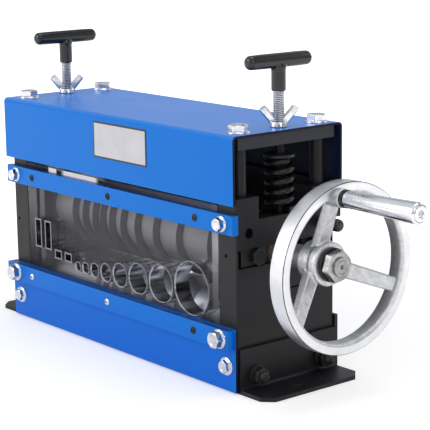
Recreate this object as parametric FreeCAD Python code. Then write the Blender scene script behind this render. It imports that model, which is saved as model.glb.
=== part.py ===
import FreeCAD
import Part

import math
import os

# Hand crank wire stripper. Millimetres, +Z up, +X towards the handwheel, -Y the feeding side.
# The pieces are drawn about the blade shaft's plane (Y = 0) and the middle of the machine
# (X = 0), with the bench at Z = 0. save() moves them so that the row's origin lies halfway
# between the two bench bolt holes.

# --- feed roller, with a V groove under each round guide ---------------------------------
roller_z = 38.0                # axis above the bench
roller_radius = 33.0
roller_end_gap = 1.0           # between the roller's end and the plate
roller_journal_radius = 8.0
roller_journal_gap = 0.5       # from a journal's end to the bottom of its bush's hole
roller_bush_radius = 11.0
roller_bush_length = 14.0
groove_base_depth = 2.0        # depth of the V groove under a guide of no bore
groove_per_bore = 0.3          # how much deeper each millimetre of bore makes it

# --- blade shaft and what it carries -----------------------------------------------------
blade_gap = 3.1                # between the roller and the blades' edges
blade_radius = 36.5
blade_thickness = 2.2
blade_bevel = 4.0
blade_edge = 0.3               # width of the ground edge itself
drum_radius = 30.0
drum_bevel = 0.6
shaft_radius = 12.0            # between the bearing blocks
shaft_step = 1.0
journal_radius = 10.0
running_gap = 0.04             # radial, on every turning fit
slip_gap = 0.05                # radial, between stacked pieces and the shaft they share
collar_radius = 17.0
collar_thickness = 3.5
stack_end_room = 11.0          # from the end of the blade and drum stack to the plate
clamp_nut_across = 34.0
clamp_nut_height = 6.0

# --- side plates -------------------------------------------------------------------------
plate_gap = 288.0              # clear width between the two plates
plate_thickness = 23.5
plate_depth = 108.0
plate_chamfer = 1.0
guide_width = 40.0             # of the slot that a bearing block slides in
guide_below_shaft = 30.6
notch_above_shaft = 33.4       # floor of the spring notch
notch_width = 60.0
notch_depth = 19.0
floor_web = 4.0                # metal left between the notch and the block guide
pocket_depth = 8.0             # pocket in the outer face
pocket_below_shaft = 5.9
pocket_above_shaft = 9.9
pocket_edge = 1.5              # wall left beside the pocket, front and rear
shaft_slot_gap = 1.0           # around the shaft in the outer wall
shaft_slot_end = 3.0           # above the shaft at the top of its travel
screw_relief_gap = 0.4         # around the adjusting screw's foot in the outer wall
spare_hole_radius = 4.5        # blind hole in the outer face, and the rest pin's hole
spare_hole_depth = 8.0
spare_hole_inset = 13.5        # from the plate's edge
front_hole_above_shaft = 22.9
rear_hole_above_shaft = 20.7
edge_hole_radius = 1.6         # set screw holes in the front edges: (inset from inner face, height)
edge_hole_depth = 8.0
right_edge_hole = (10.0, 114.6)
left_edge_hole = (17.0, 97.6)

# --- sliding bearing blocks --------------------------------------------------------------
lift_down = 1.0                # carriage travel below and above the stored position
lift_up = 8.0
block_side_gap = 0.1
block_floor_gap = 0.2          # under the block at the bottom of its travel
block_top_gap = 1.0            # over the block at the top of its travel
block_flange_margin = 4.0      # the inner flange's overlap on the plate, each side
block_flange_thickness = 3.0
block_flange_drop = 4.0        # from the block's top to its flange's top
bush_radius = 12.5
pad_thickness = 5.0
pad_gap = 0.3
pad_fit = 0.2                  # above and below a pad in its pocket
pad_block_gap = 0.5            # between a pad and the sliding block's guide
pad_end_gap = 6.0
pad_bolt_offset = 10.7         # from the block's guide

# --- feet --------------------------------------------------------------------------------
foot_thickness = 3.5
foot_reach = 36.5              # horizontal flange, measured from the plate
foot_height = 38.0
foot_end_inset = 0.1
foot_corner = 9.0
foot_root_radius = 2.5
foot_hole_radius = 4.0
foot_hole_y = -9.7             # bench bolt holes, in front of the blade shaft
foot_hole_inset = 10.5         # from the flange's outer edge
foot_bolt_inset = 17.5         # from the plate's edge
foot_bolt_z = 14.0

# --- hood and what carries it ------------------------------------------------------------
hood_overhang = 3.5            # past the plates' outer faces
hood_front_gap = 4.0           # between the hood and the plates' front edges
hood_rear_gap = 4.5
hood_height = 56.9
hood_sheet = 2.0
hood_bend = 3.8                # outer radius of the two long bends
cross_bar_height = 10.6
cross_bar_front_inset = 2.5    # from the plate's front edge
cross_bar_rear_reach = 0.6     # past its rear edge
post_radius = 6.0
post_height = 39.7
front_post_inset = 13.0        # from the plate's front edge
rear_post_inset = 9.0          # from its rear edge
post_spigot_radius = 4.0
post_spigot_length = 12.0

# --- front and rear bars -----------------------------------------------------------------
bar_thickness = 6.0
upper_bar_overhang = 2.3       # past the plates' outer faces
upper_bar_height = 16.4
upper_bar_drop = 12.4          # from the plates' shoulders to the bar's top
lower_bar_overhang = 2.5
lower_bar_right_trim = 3.5     # how much shorter it is at the handwheel's end
lower_bar_height = 16.8
lower_bar_low = 38.0
panel_thickness = 3.5
panel_overhang = 1.6
panel_low = 1.4
front_panel_high = 55.0
rear_panel_high = 48.0
rear_cover_thickness = 2.0
rear_cover_low = 100.0
rear_cover_overlap = 6.6       # behind the hood's lower edge
bar_bolt_shift = -0.75         # from the middle of the plate's thickness
panel_bolt_shift = 1.25
panel_bolt_z = 22.3

# --- feed window and its guides ----------------------------------------------------------
window_thickness = 8.5
window_low_rise = 2.0          # above the lower bar's bottom edge
window_high_rise = 4.9         # above the upper bar's top edge
window_side_gap = 0.3
window_screw_pitch = 124.0
window_screw_shift = -3.0      # the middle screw sits this far from the machine's middle
guide_bores = (44.8, 31.8, 25.8, 19.8, 14.8, 11.3, 8.8, 6.8)
guide_wall = 1.6
guide_mouth_bevel = 0.5
guide_spacing = 1.3            # between the outsides of neighbouring tubes
guide_edge_inset = 1.5         # from the end of the blade stack to the largest tube
guide_end_gap = 2.1            # between the guides' inner ends and the blades
guide_base_drop = 8.1          # lowest point of an imaginary tube of no bore, under the roller's top
guide_drop = 0.2               # how far a tube's lowest point falls per millimetre of bore
guide_fit = 0.1                # radial gap between a guide and the window
slot_margin = 5.0              # from the smallest tube to the first rectangular guide
slot_pitch = 16.6
slot_wall = 1.5
ribbon_slot = (9.0, 6.0)       # opening width and height
ribbon_slot_rise = 1.5         # its middle, above the roller's top
upright_slot = (8.0, 25.0)
upright_slot_rise = 17.4
bracket_leg = 7.5
bracket_thickness = 1.5
bracket_drop = 3.2             # below the upper bar
right_bracket_low = 92.0
left_bracket_low = 58.0

# --- adjusting screws and springs --------------------------------------------------------
screw_radius = 5.0             # M10
screw_y = 2.8                  # behind the blade shaft's plane
thread_gap = 0.06
screw_foot_radius = 6.0
screw_foot_height = 2.2
screw_foot_rise = 1.3          # above the bush
screw_neck_radius = 4.0
screw_play = 0.1
screw_shoulder_gap = 0.5       # from the block's top to the full thread
screw_rise = 46.7              # above the hood
spring_outer_radius = 13.0
spring_wire_radius = 2.6
spring_turns = 5
spring_washer_thickness = 2.0
spring_washer_radius = 13.4
spring_washer_gap = 1.7        # below the cross bar at the top of the travel
grip_stem_radius = 6.1
grip_stem_rise = 30.0          # above the hood
grip_bar_radius = 6.5
grip_bar_length = 68.4
grip_bar_rise = 55.0
grip_bar_round = 4.8
wing_base_radius = 7.8
wing_top_radius = 6.8
wing_hub_height = 5.0
wing_span = 33.6               # over the outline's corners, before they are rounded
wing_height = 18.6
wing_foot_gap = 0.6            # between the hood and the wings
wing_root = 5.4                # reach of a wing at its foot
wing_crotch = 4.2              # height at which the wings' inner edges would meet
wing_tip_width = 5.4
wing_tip_drop = 3.7
wing_tip_round = 1.4
wing_thickness = 3.2
wing_turn = 39.0               # degrees between the wings and the hood's cross direction

# --- handwheel and crank handle ----------------------------------------------------------
hub_standoff = 30.5            # from the plate to the hub's back
hub_length = 23.0
hub_radius = 17.0
hub_collar_radius = 18.4
hub_collar_length = 8.0        # at the hub's front
hub_bevel = 1.5
hub_bore_radius = 9.0
rim_offset = 36.0              # middle of the rim, from the hub's back
rim_radius = 65.8              # middle of the rim's section
rim_half_width = 7.7
rim_half_depth = 4.7
rim_outer_round = 0.8          # on the two edges of the rim's outer face
rim_inner_round = 3.6
spoke_count = 3
spoke_width = 14.0
spoke_thickness = 10.0
spoke_taper = 0.86             # section at the rim over section at the hub
spoke_corner = 0.25            # corner radius over the section's thickness
spoke_root_radius = 15.0
spoke_root_offset = 12.2       # middle of a spoke's root, from the hub's back
spoke_tip_inset = 1.0          # from the middle of the rim's section
spoke_tip_offset = 36.7
handle_angle = 97.7            # degrees from +Y, towards +Z
handle_inset = 6.6             # crank radius, short of the middle of the rim's section
handle_boss_radius = 7.8
handle_boss_offset = 10.8      # the boss's front, from the middle of the rim
handle_ring_radius = 7.4
handle_ring_thickness = 3.6
handle_length = 81.7           # from the boss to the end
handle_base_radius = 6.9
handle_base_bevel = 0.6
handle_end_radius = 8.7
handle_end_bevel = 1.2
handle_end_gap = 0.2           # play at each end of the sleeve
handle_bolt_radius = 4.0
handle_head_radius = 6.6
handle_head_height = 5.0
handle_head_round = 0.8
handle_head_gap = 0.3          # around the bolt's head
handle_head_stand = 0.6        # the head stands out of the sleeve by this much
handle_socket_across = 6.0
handle_socket_depth = 3.0
hub_washer_radius = 14.2
hub_washer_thickness = 3.0
hub_nut_across = 24.0
hub_nut_height = 8.0
hub_thread_radius = 8.0
hub_thread_end = 2.4           # thread showing past the nut
centre_hole_radius = 2.0
centre_hole_depth = 3.0
key_width = 5.0
key_height = 5.0
key_inset = 1.5

# --- fasteners: (shank radius, width across flats, head height, flange radius, flange height)
m10_flange = (5.0, 15.0, 5.9, 10.0, 1.8)
m8_flange = (4.0, 13.0, 6.5, 8.6, 1.6)
m6_flange = (3.0, 10.0, 5.0, 7.0, 1.4)
m8_hex = (4.0, 13.0, 5.3, 0.0, 0.0)
m6_hex = (3.0, 10.0, 4.0, 0.0, 0.0)
flange_taper = 0.82            # a flange's top radius over its bottom radius
head_corner = 0.72             # radius of the cone that trims a head, at its foot, over its flats
hole_clearance = 0.25          # radial, where a bolt passes through a sheet or bar
thread_depth = 14.0
thread_margin = 2.0            # a bolt stops short of the bottom of its hole by this much
blind_floor = 1.0              # metal under the threaded holes of the cross bars
panel_washer_radius = 8.0
panel_washer_thickness = 1.6
foot_nut_height = 6.5
foot_stud_reach = 12.0
window_screw_radius = 2.5
window_screw_head_radius = 3.6
window_screw_head_height = 1.2
window_screw_end = 1.0         # thread showing past the nut
window_nut_across = 8.0
window_nut_height = 3.5
rest_pin_radius = 5.4
rest_pin_round = 3.2
rest_pin_reach = 23.0

# --- heights that follow from the sizes above ----------------------------------------------
roller_top = roller_z + roller_radius
shaft_z = roller_top + blade_gap + blade_radius
guide_floor = shaft_z - guide_below_shaft
pocket_low = shaft_z - pocket_below_shaft
pocket_high = shaft_z + pocket_above_shaft
pad_z = (pocket_low + pocket_high) / 2
notch_floor = shaft_z + notch_above_shaft
guide_high = notch_floor - floor_web
shoulder_height = notch_floor + notch_depth
front_hole_z = shaft_z + front_hole_above_shaft
rear_hole_z = shaft_z + rear_hole_above_shaft
shaft_slot_half = journal_radius + shaft_slot_gap
shaft_slot_high = shaft_z + lift_up + shaft_slot_half + shaft_slot_end
block_low = guide_floor + lift_down + block_floor_gap
block_flush_high = pocket_low - pad_gap
block_high = guide_high - lift_up - block_top_gap
block_flange_high = block_high - block_flange_drop
cross_bar_low = shoulder_height + post_height
hood_under = cross_bar_low + cross_bar_height
hood_top = hood_under + hood_sheet
hood_bottom = hood_top - hood_height
upper_bar_high = shoulder_height - upper_bar_drop
upper_bar_low = upper_bar_high - upper_bar_height
upper_bar_z = (upper_bar_low + upper_bar_high) / 2
lower_bar_high = lower_bar_low + lower_bar_height
lower_bar_z = (lower_bar_low + lower_bar_high) / 2
window_low = lower_bar_low + window_low_rise
window_high = upper_bar_high + window_high_rise
bracket_high = upper_bar_low - bracket_drop
guide_base = roller_top - guide_base_drop
screw_foot_z = shaft_z + bush_radius + screw_foot_rise
screw_top = hood_top + screw_rise
grip_stem_low = hood_top + grip_stem_rise
grip_bar_z = hood_top + grip_bar_rise
spring_seat_z = cross_bar_low - spring_washer_gap - lift_up - spring_washer_thickness

# --- planes across the machine ---------------------------------------------------------------
plate_in = plate_gap / 2
plate_out = plate_in + plate_thickness
screw_x = plate_in + plate_thickness / 2
pocket_floor_x = plate_out - pocket_depth
block_flange_x = plate_in - block_side_gap - block_flange_thickness
bar_bolt_x = screw_x + bar_bolt_shift
panel_bolt_x = screw_x + panel_bolt_shift
foot_hole_x = plate_out + foot_reach - foot_hole_inset
stack_reach = plate_in - stack_end_room
guide_edge_x = stack_reach - guide_edge_inset
hub_back = plate_out + hub_standoff
hub_front = hub_back + hub_length
hub_nut_x = hub_front + hub_washer_thickness
shaft_end_x = hub_nut_x + hub_nut_height + hub_thread_end
wheel_x = hub_back + rim_offset
spoke_root_x = hub_back + spoke_root_offset
spoke_tip_x = hub_back + spoke_tip_offset
handle_boss_back = spoke_tip_x - spoke_thickness / 2
handle_boss_front = wheel_x + handle_boss_offset
handle_end_x = handle_boss_front + handle_length
handle_offset = rim_radius - handle_inset

# --- planes along the feeding direction ------------------------------------------------------
front = -plate_depth / 2       # plane of the plates' front edges
rear = plate_depth / 2
window_back = front + window_thickness
guide_length = rear - blade_radius - guide_end_gap
post_spots = (front + front_post_inset, rear - rear_post_inset)
foot_bolt_y = rear - foot_bolt_inset
spare_hole_y = rear - spare_hole_inset
pad_bolt_y = guide_width / 2 + pad_bolt_offset

axis_x = FreeCAD.Vector(1, 0, 0)
axis_y = FreeCAD.Vector(0, 1, 0)
axis_z = FreeCAD.Vector(0, 0, 1)


def at(x, y, z):
    return FreeCAD.Vector(x, y, z)


def box(x0, x1, y0, y1, z0, z1):
    return Part.makeBox(x1 - x0, y1 - y0, z1 - z0, at(x0, y0, z0))


def rod(radius, start, direction, length):
    return Part.makeCylinder(radius, length, start, direction)


def tube(outer, inner, start, direction, length):
    return rod(outer, start, direction, length).cut(rod(inner, start, direction, length))


def turned(points, centre_z=0.0):
    """A solid of revolution about X from (x, radius) points, centred at the given height."""
    corners = [at(x, 0, radius) for x, radius in points]
    face = Part.Face(Part.makePolygon(corners + corners[:1]))
    solid = face.revolve(at(0, 0, 0), axis_x, 360)
    solid.translate(at(0, 0, centre_z))
    return solid


def prism(across, start, direction, length):
    """A hexagonal prism with the given width across its flats."""
    corner = across / math.sqrt(3)
    points = []
    for k in range(6):
        angle = math.radians(60 * k)
        points.append(at(corner * math.cos(angle), corner * math.sin(angle), 0))
    solid = Part.Face(Part.makePolygon(points + points[:1])).extrude(axis_z * length)
    solid.Placement = FreeCAD.Placement(start, FreeCAD.Rotation(axis_z, direction))
    return solid


def hex_head(across, start, direction, length):
    """A hexagonal head whose outer corners are turned off at the far end."""
    blank = prism(across, start, direction, length)
    dome = Part.makeCone(across * head_corner, across / 2, length, at(0, 0, 0), axis_z)
    dome.Placement = FreeCAD.Placement(start, FreeCAD.Rotation(axis_z, direction))
    return blank.common(dome)


def bolt(size, seat, outward, grip):
    """A bolt whose head sits on the point seat and whose shank runs grip long behind it."""
    shank, across, head, flange, flange_height = size
    solid = rod(shank, seat - outward * grip, outward, grip)
    if flange:
        disc = Part.makeCone(flange, flange * flange_taper, flange_height)
        disc.Placement = FreeCAD.Placement(seat, FreeCAD.Rotation(axis_z, outward))
        solid = solid.fuse(disc)
    return solid.fuse(hex_head(across, seat + outward * (flange_height / 2), outward, head))


def mirrored(shape):
    """The same piece on the side away from the handwheel."""
    return shape.mirror(at(0, 0, 0), axis_x)


def turned_back(shape):
    """The same piece on the rear side."""
    return shape.mirror(at(0, 0, 0), axis_y)


def both_sides(shape):
    return [shape, mirrored(shape)]


def save(name, shapes):
    """Writes one node, moved so that the bench bolt holes straddle the origin."""
    solids = shapes if isinstance(shapes, list) else [shapes]
    node = Part.makeCompound([solid for shape in solids for solid in shape.Solids])
    node.translate(at(0, -foot_hole_y, 0))
    node.exportStep("parts/" + name + ".step")


# --- side plates and feet ----------------------------------------------------------------
def side_plate(edge_hole):
    plate = box(plate_in, plate_out, front, rear, 0, shoulder_height)
    uprights = [edge for edge in plate.Edges if abs(edge.tangentAt(0).z) > 0.9]
    plate = plate.makeChamfer(plate_chamfer, uprights)
    half_guide = guide_width / 2
    cuts = [
        box(plate_in, plate_out, -notch_width / 2, notch_width / 2, notch_floor, shoulder_height),
        box(plate_in, plate_out, -half_guide, half_guide, guide_floor, pocket_high),
        box(plate_in, pocket_floor_x, -half_guide, half_guide, guide_floor, guide_high),
        box(pocket_floor_x, plate_out, front + pocket_edge, rear - pocket_edge, pocket_low, pocket_high),
        box(pocket_floor_x, plate_out, -shaft_slot_half, shaft_slot_half, pocket_high,
            shaft_slot_high - shaft_slot_half),
        rod(shaft_slot_half, at(pocket_floor_x, 0, shaft_slot_high - shaft_slot_half), axis_x,
            pocket_depth),
        rod(screw_foot_radius + screw_relief_gap, at(screw_x, screw_y, pocket_high), axis_z,
            guide_high - pocket_high),
        rod(screw_radius + hole_clearance, at(screw_x, screw_y, guide_high), axis_z, floor_web),
        rod(roller_bush_radius, at(plate_in, 0, roller_z), axis_x, roller_bush_length),
    ]
    for side, height in ((-1, front_hole_z), (1, rear_hole_z)):
        cuts.append(rod(spare_hole_radius, at(plate_out, side * spare_hole_y, height), -axis_x,
                        spare_hole_depth))
        cuts.append(rod(m8_hex[0], at(pocket_floor_x, side * pad_bolt_y, pad_z), -axis_x,
                        thread_depth))
        cuts.append(rod(m8_hex[0], at(plate_out, side * foot_bolt_y, foot_bolt_z), -axis_x,
                        thread_depth))
    for y in post_spots:
        cuts.append(rod(post_spigot_radius, at(screw_x, y, shoulder_height), -axis_z,
                        post_spigot_length))
    for height, x, shank in plate_edge_bolts():
        for edge, inward in ((front, axis_y), (rear, -axis_y)):
            cuts.append(rod(shank, at(x, edge, height), inward, thread_depth))
    inset, height = edge_hole
    cuts.append(rod(edge_hole_radius, at(plate_in + inset, front, height), axis_y, edge_hole_depth))
    for cut in cuts:
        plate = plate.cut(cut)
    return plate


def plate_edge_bolts():
    """Height, distance from the middle and shank radius of the tapped holes in the plates' edges."""
    return (
        (upper_bar_z, bar_bolt_x, m6_flange[0]),
        (lower_bar_z, bar_bolt_x, m8_flange[0]),
        (panel_bolt_z, panel_bolt_x, m6_hex[0]),
    )


def foot_angle():
    half = rear - foot_end_inset
    edge = plate_out + foot_reach
    inner = edge - foot_corner
    outline = [at(plate_out, -half, 0), at(inner, -half, 0), at(edge, -half + foot_corner, 0),
               at(edge, half - foot_corner, 0), at(inner, half, 0), at(plate_out, half, 0)]
    flange = Part.Face(Part.makePolygon(outline + outline[:1])).extrude(axis_z * foot_thickness)
    upright = box(plate_out, plate_out + foot_thickness, -half, half, 0, foot_height)
    foot = upright.fuse(flange).removeSplitter()
    corner_x = plate_out + foot_thickness
    root = [e for e in foot.Edges
            if abs(e.CenterOfMass.x - corner_x) < 0.01 and abs(e.CenterOfMass.z - foot_thickness) < 0.01]
    foot = foot.makeFillet(foot_root_radius, root)
    foot = foot.cut(rod(foot_hole_radius, at(foot_hole_x, foot_hole_y, 0), axis_z, foot_thickness))
    for side in (-1, 1):
        hole = rod(m8_hex[0] + hole_clearance, at(plate_out, side * foot_bolt_y, foot_bolt_z), axis_x,
                   foot_thickness)
        foot = foot.cut(hole)
    return foot


def foot_bolts():
    """Studs screwed into the plates, each with a washer and a nut outside the angle."""
    pieces = []
    face = plate_out + foot_thickness
    for side in (-1, 1):
        y = side * foot_bolt_y
        shank = m8_hex[0]
        stud = rod(shank, at(plate_out - thread_depth, y, foot_bolt_z), axis_x,
                   thread_depth + foot_thickness + foot_stud_reach)
        washer = tube(panel_washer_radius, shank + slip_gap, at(face, y, foot_bolt_z), axis_x,
                      panel_washer_thickness)
        nut = hex_head(m8_hex[1], at(face + panel_washer_thickness, y, foot_bolt_z), axis_x,
                       foot_nut_height)
        nut = nut.cut(rod(shank + slip_gap, at(face, y, foot_bolt_z), axis_x, foot_stud_reach))
        for piece in (stud, washer, nut):
            pieces += both_sides(piece)
    return pieces


def rest_pin():
    seat = at(plate_out, spare_hole_y, rear_hole_z)
    stem = rod(spare_hole_radius - slip_gap, seat, -axis_x, spare_hole_depth)
    head = rod(rest_pin_radius, seat, axis_x, rest_pin_reach)
    tip = [e for e in head.Edges if abs(e.CenterOfMass.x - plate_out - rest_pin_reach) < 0.01]
    return stem.fuse(head.makeFillet(rest_pin_round, tip))


# --- hood, cross bars and posts ------------------------------------------------------------
def hood_block(spare, top, radius):
    """A bar of the hood's length, spare larger than its inside, its two long upper edges rounded."""
    end = plate_out + hood_overhang
    block = box(-end, end, front - hood_front_gap - spare, rear + hood_rear_gap + spare, hood_bottom,
                top)
    edges = [e for e in block.Edges
             if abs(e.tangentAt(0).x) > 0.9 and abs(e.CenterOfMass.z - top) < 0.01]
    return block.makeFillet(radius, edges)


def hood():
    shell = hood_block(hood_sheet, hood_top, hood_bend)
    shell = shell.cut(hood_block(0.0, hood_under, hood_bend - hood_sheet))
    for side in (-1, 1):
        shell = shell.cut(rod(screw_radius + 2 * hole_clearance, at(side * screw_x, screw_y, hood_under),
                              axis_z, hood_sheet))
        for y in post_spots:
            shell = shell.cut(rod(m10_flange[0] + hole_clearance, at(side * screw_x, y, hood_under),
                                  axis_z, hood_sheet))
    return shell


def cross_bar():
    bar = box(plate_in, plate_out, front + cross_bar_front_inset, rear + cross_bar_rear_reach,
              cross_bar_low, hood_under)
    bar = bar.cut(rod(screw_radius + thread_gap, at(screw_x, screw_y, cross_bar_low), axis_z,
                      cross_bar_height))
    for y in post_spots:
        bar = bar.cut(rod(m10_flange[0], at(screw_x, y, hood_under), -axis_z,
                          cross_bar_height - blind_floor))
    return bar


def hood_posts():
    posts = []
    for y in post_spots:
        body = rod(post_radius, at(screw_x, y, shoulder_height), axis_z,
                   cross_bar_low - shoulder_height)
        spigot = rod(post_spigot_radius, at(screw_x, y, shoulder_height - post_spigot_length), axis_z,
                     post_spigot_length)
        posts += both_sides(body.fuse(spigot))
    return posts


def hood_bolts():
    bolts = []
    grip = hood_sheet + cross_bar_height - blind_floor
    for y in post_spots:
        bolts += both_sides(bolt(m10_flange, at(screw_x, y, hood_top), axis_z, grip))
    return bolts


# --- bars and panels -----------------------------------------------------------------------
def bar_with_holes(overhang, depth, face, low, high, holes):
    """A flat bar or sheet across the front, its back on the plane face, with holes along Y."""
    end = plate_out + overhang
    bar = box(-end, end, face - depth, face, low, high)
    for x, z, radius in holes:
        for side in (-1, 1):
            bar = bar.cut(rod(radius, at(side * x, face - depth, z), axis_y, depth))
    return bar


def window_screw_spots():
    spots = []
    for step in (-1, 0, 1):
        x = window_screw_shift + step * window_screw_pitch
        spots.append((x, upper_bar_z, front - bar_thickness))
        spots.append((x, lower_bar_z, front - panel_thickness - bar_thickness))
    return spots


def drill_window_screws(piece, height):
    for x, z, face in window_screw_spots():
        if abs(z - height) < 1.0:
            piece = piece.cut(rod(window_screw_radius + slip_gap, at(x, face, z), axis_y,
                                  front - face + window_thickness))
    return piece


def upper_front_bar():
    hole = (bar_bolt_x, upper_bar_z, m6_flange[0] + hole_clearance)
    bar = bar_with_holes(upper_bar_overhang, bar_thickness, front, upper_bar_low, upper_bar_high, [hole])
    return drill_window_screws(bar, upper_bar_z)


def lower_front_bar():
    hole = (bar_bolt_x, lower_bar_z, m8_flange[0] + hole_clearance)
    face = front - panel_thickness
    bar = bar_with_holes(lower_bar_overhang, bar_thickness, face, lower_bar_low, lower_bar_high, [hole])
    end = plate_out + lower_bar_overhang
    bar = bar.cut(box(end - lower_bar_right_trim, end, face - bar_thickness, face, lower_bar_low,
                      lower_bar_high))
    return drill_window_screws(bar, lower_bar_z)


def lower_front_panel():
    holes = [(bar_bolt_x, lower_bar_z, m8_flange[0] + hole_clearance),
             (panel_bolt_x, panel_bolt_z, m6_hex[0] + hole_clearance)]
    panel = bar_with_holes(panel_overhang, panel_thickness, front, panel_low, front_panel_high, holes)
    return drill_window_screws(panel, lower_bar_z)


def upper_rear_bar():
    """The bar, and the cover sheet on its inner face that closes the rear between the plates."""
    hole = (bar_bolt_x, upper_bar_z, m6_flange[0] + hole_clearance)
    bar = turned_back(bar_with_holes(upper_bar_overhang, bar_thickness, front, upper_bar_low,
                                     upper_bar_high, [hole]))
    half = plate_in - window_side_gap
    cover = box(-half, half, rear - rear_cover_thickness, rear, rear_cover_low,
                hood_bottom + rear_cover_overlap)
    return [bar, cover]


def lower_rear_panel():
    hole = (panel_bolt_x, panel_bolt_z, m6_hex[0] + hole_clearance)
    return turned_back(bar_with_holes(panel_overhang, panel_thickness, front, panel_low,
                                      rear_panel_high, [hole]))


def upper_bar_bolts():
    grip = bar_thickness + thread_depth - thread_margin
    screw = bolt(m6_flange, at(bar_bolt_x, front - bar_thickness, upper_bar_z), -axis_y, grip)
    return both_sides(screw) + both_sides(turned_back(screw))


def lower_bar_bolts():
    grip = bar_thickness + panel_thickness + thread_depth - thread_margin
    seat = at(bar_bolt_x, front - panel_thickness - bar_thickness, lower_bar_z)
    return both_sides(bolt(m8_flange, seat, -axis_y, grip))


def panel_bolts():
    """Hexagon screws with a plain washer, two in each lower panel."""
    face = front - panel_thickness
    grip = panel_washer_thickness + panel_thickness + thread_depth - thread_margin
    screw = bolt(m6_hex, at(panel_bolt_x, face - panel_washer_thickness, panel_bolt_z), -axis_y, grip)
    washer = tube(panel_washer_radius, m6_hex[0] + slip_gap, at(panel_bolt_x, face, panel_bolt_z),
                  -axis_y, panel_washer_thickness)
    pieces = []
    for piece in (screw, washer):
        pieces += both_sides(piece) + both_sides(turned_back(piece))
    return pieces


# --- feed window and guides ------------------------------------------------------------------
def guide_layout():
    """Centre x, centre z and bore of each round feed guide, from the largest to the smallest."""
    layout = []
    edge = guide_edge_x
    for bore in guide_bores:
        outer = bore / 2 + guide_wall
        lowest = guide_base - guide_drop * bore
        layout.append((edge - outer, lowest + outer, bore))
        edge -= 2 * outer + guide_spacing
    return layout


def slot_layout():
    """Centre x, centre z and opening of each rectangular guide."""
    last_x, last_z, last_bore = guide_layout()[-1]
    first_x = last_x - last_bore / 2 - guide_wall - slot_margin - slot_wall - ribbon_slot[0] / 2
    kinds = [(ribbon_slot_rise, ribbon_slot)] * 2 + [(upright_slot_rise, upright_slot)] * 2
    return [(first_x - k * slot_pitch, roller_top + rise, opening)
            for k, (rise, opening) in enumerate(kinds)]


def sleeve(x, z, opening):
    half_w = opening[0] / 2
    half_h = opening[1] / 2
    wall = slot_wall
    outer = box(x - half_w - wall, x + half_w + wall, front, front + guide_length,
                z - half_h - wall, z + half_h + wall)
    inner = box(x - half_w, x + half_w, front, front + guide_length, z - half_h, z + half_h)
    return outer.cut(inner)


def feed_window():
    half = plate_in - window_side_gap
    pane = box(-half, half, front, front + window_thickness, window_low, window_high)
    for x, z, bore in guide_layout():
        pane = pane.cut(rod(bore / 2 + guide_wall + guide_fit, at(x, front, z), axis_y,
                            window_thickness))
    for x, z, opening in slot_layout():
        half_w = opening[0] / 2 + slot_wall
        half_h = opening[1] / 2 + slot_wall
        pane = pane.cut(box(x - half_w, x + half_w, front, front + window_thickness,
                            z - half_h, z + half_h))
    for x, z, face in window_screw_spots():
        pane = pane.cut(rod(window_screw_radius + slip_gap, at(x, front, z), axis_y,
                            window_thickness))
    return pane


def feed_guide(x, z, bore):
    guide = tube(bore / 2 + guide_wall, bore / 2, at(x, front, z), axis_y, guide_length)
    mouth = [e for e in guide.Edges
             if abs(e.CenterOfMass.y - front) < 0.01 and e.Length < math.pi * (bore + guide_wall)]
    return guide.makeChamfer(guide_mouth_bevel, mouth)


def window_brackets():
    """An angle at each end of the window, one leg on the window's back and one on the plate."""
    brackets = []
    for low, flip in ((right_bracket_low, False), (left_bracket_low, True)):
        leg = box(plate_in - bracket_leg, plate_in, window_back, window_back + bracket_thickness,
                  low, bracket_high)
        arm = box(plate_in - bracket_thickness, plate_in, window_back, window_back + bracket_leg,
                  low, bracket_high)
        angle = leg.fuse(arm).removeSplitter()
        brackets.append(mirrored(angle) if flip else angle)
    return brackets


def window_screws():
    """Screws through the bars and the window, each with a nut behind the window."""
    pieces = []
    for x, z, face in window_screw_spots():
        length = window_back - face + window_nut_height + window_screw_end
        shank = rod(window_screw_radius, at(x, face, z), axis_y, length)
        head = rod(window_screw_head_radius, at(x, face, z), -axis_y, window_screw_head_height)
        nut = hex_head(window_nut_across, at(x, window_back, z), axis_y, window_nut_height)
        nut = nut.cut(rod(window_screw_radius + slip_gap, at(x, window_back, z), axis_y,
                          window_nut_height))
        pieces += [shank.fuse(head), nut]
    return pieces


# --- sliding carriage ------------------------------------------------------------------------
def bearing_block():
    half = guide_width / 2 - block_side_gap
    wide = guide_width / 2 + block_flange_margin
    flush = box(plate_in, plate_out, -half, half, block_low, block_flush_high)
    tongue = box(plate_in, pocket_floor_x - pad_gap, -half, half, block_flush_high, block_high)
    flange = box(block_flange_x, plate_in - block_side_gap, -wide, wide, block_low, block_flange_high)
    neck = box(plate_in - block_side_gap, plate_in, -half, half, block_low, block_flange_high)
    block = flush.fuse([tongue, flange, neck]).removeSplitter()
    block = block.cut(rod(bush_radius, at(block_flange_x, 0, shaft_z), axis_x,
                          plate_out - block_flange_x))
    foot_low = screw_foot_z - screw_play
    foot_high = screw_foot_z + screw_foot_height + screw_play
    for radius, low, high in (
            (screw_foot_radius + block_side_gap, foot_low, foot_high),
            (screw_neck_radius + block_side_gap, foot_low, block_high)):
        block = block.cut(rod(radius, at(screw_x, screw_y, low), axis_z, high - low))
        block = block.cut(box(block_flange_x, screw_x, screw_y - radius, screw_y + radius, low, high))
    return block


def shaft_bush():
    return tube(bush_radius, journal_radius + running_gap, at(block_flange_x, 0, shaft_z), axis_x,
                pocket_floor_x - pad_gap - block_flange_x)


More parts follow.
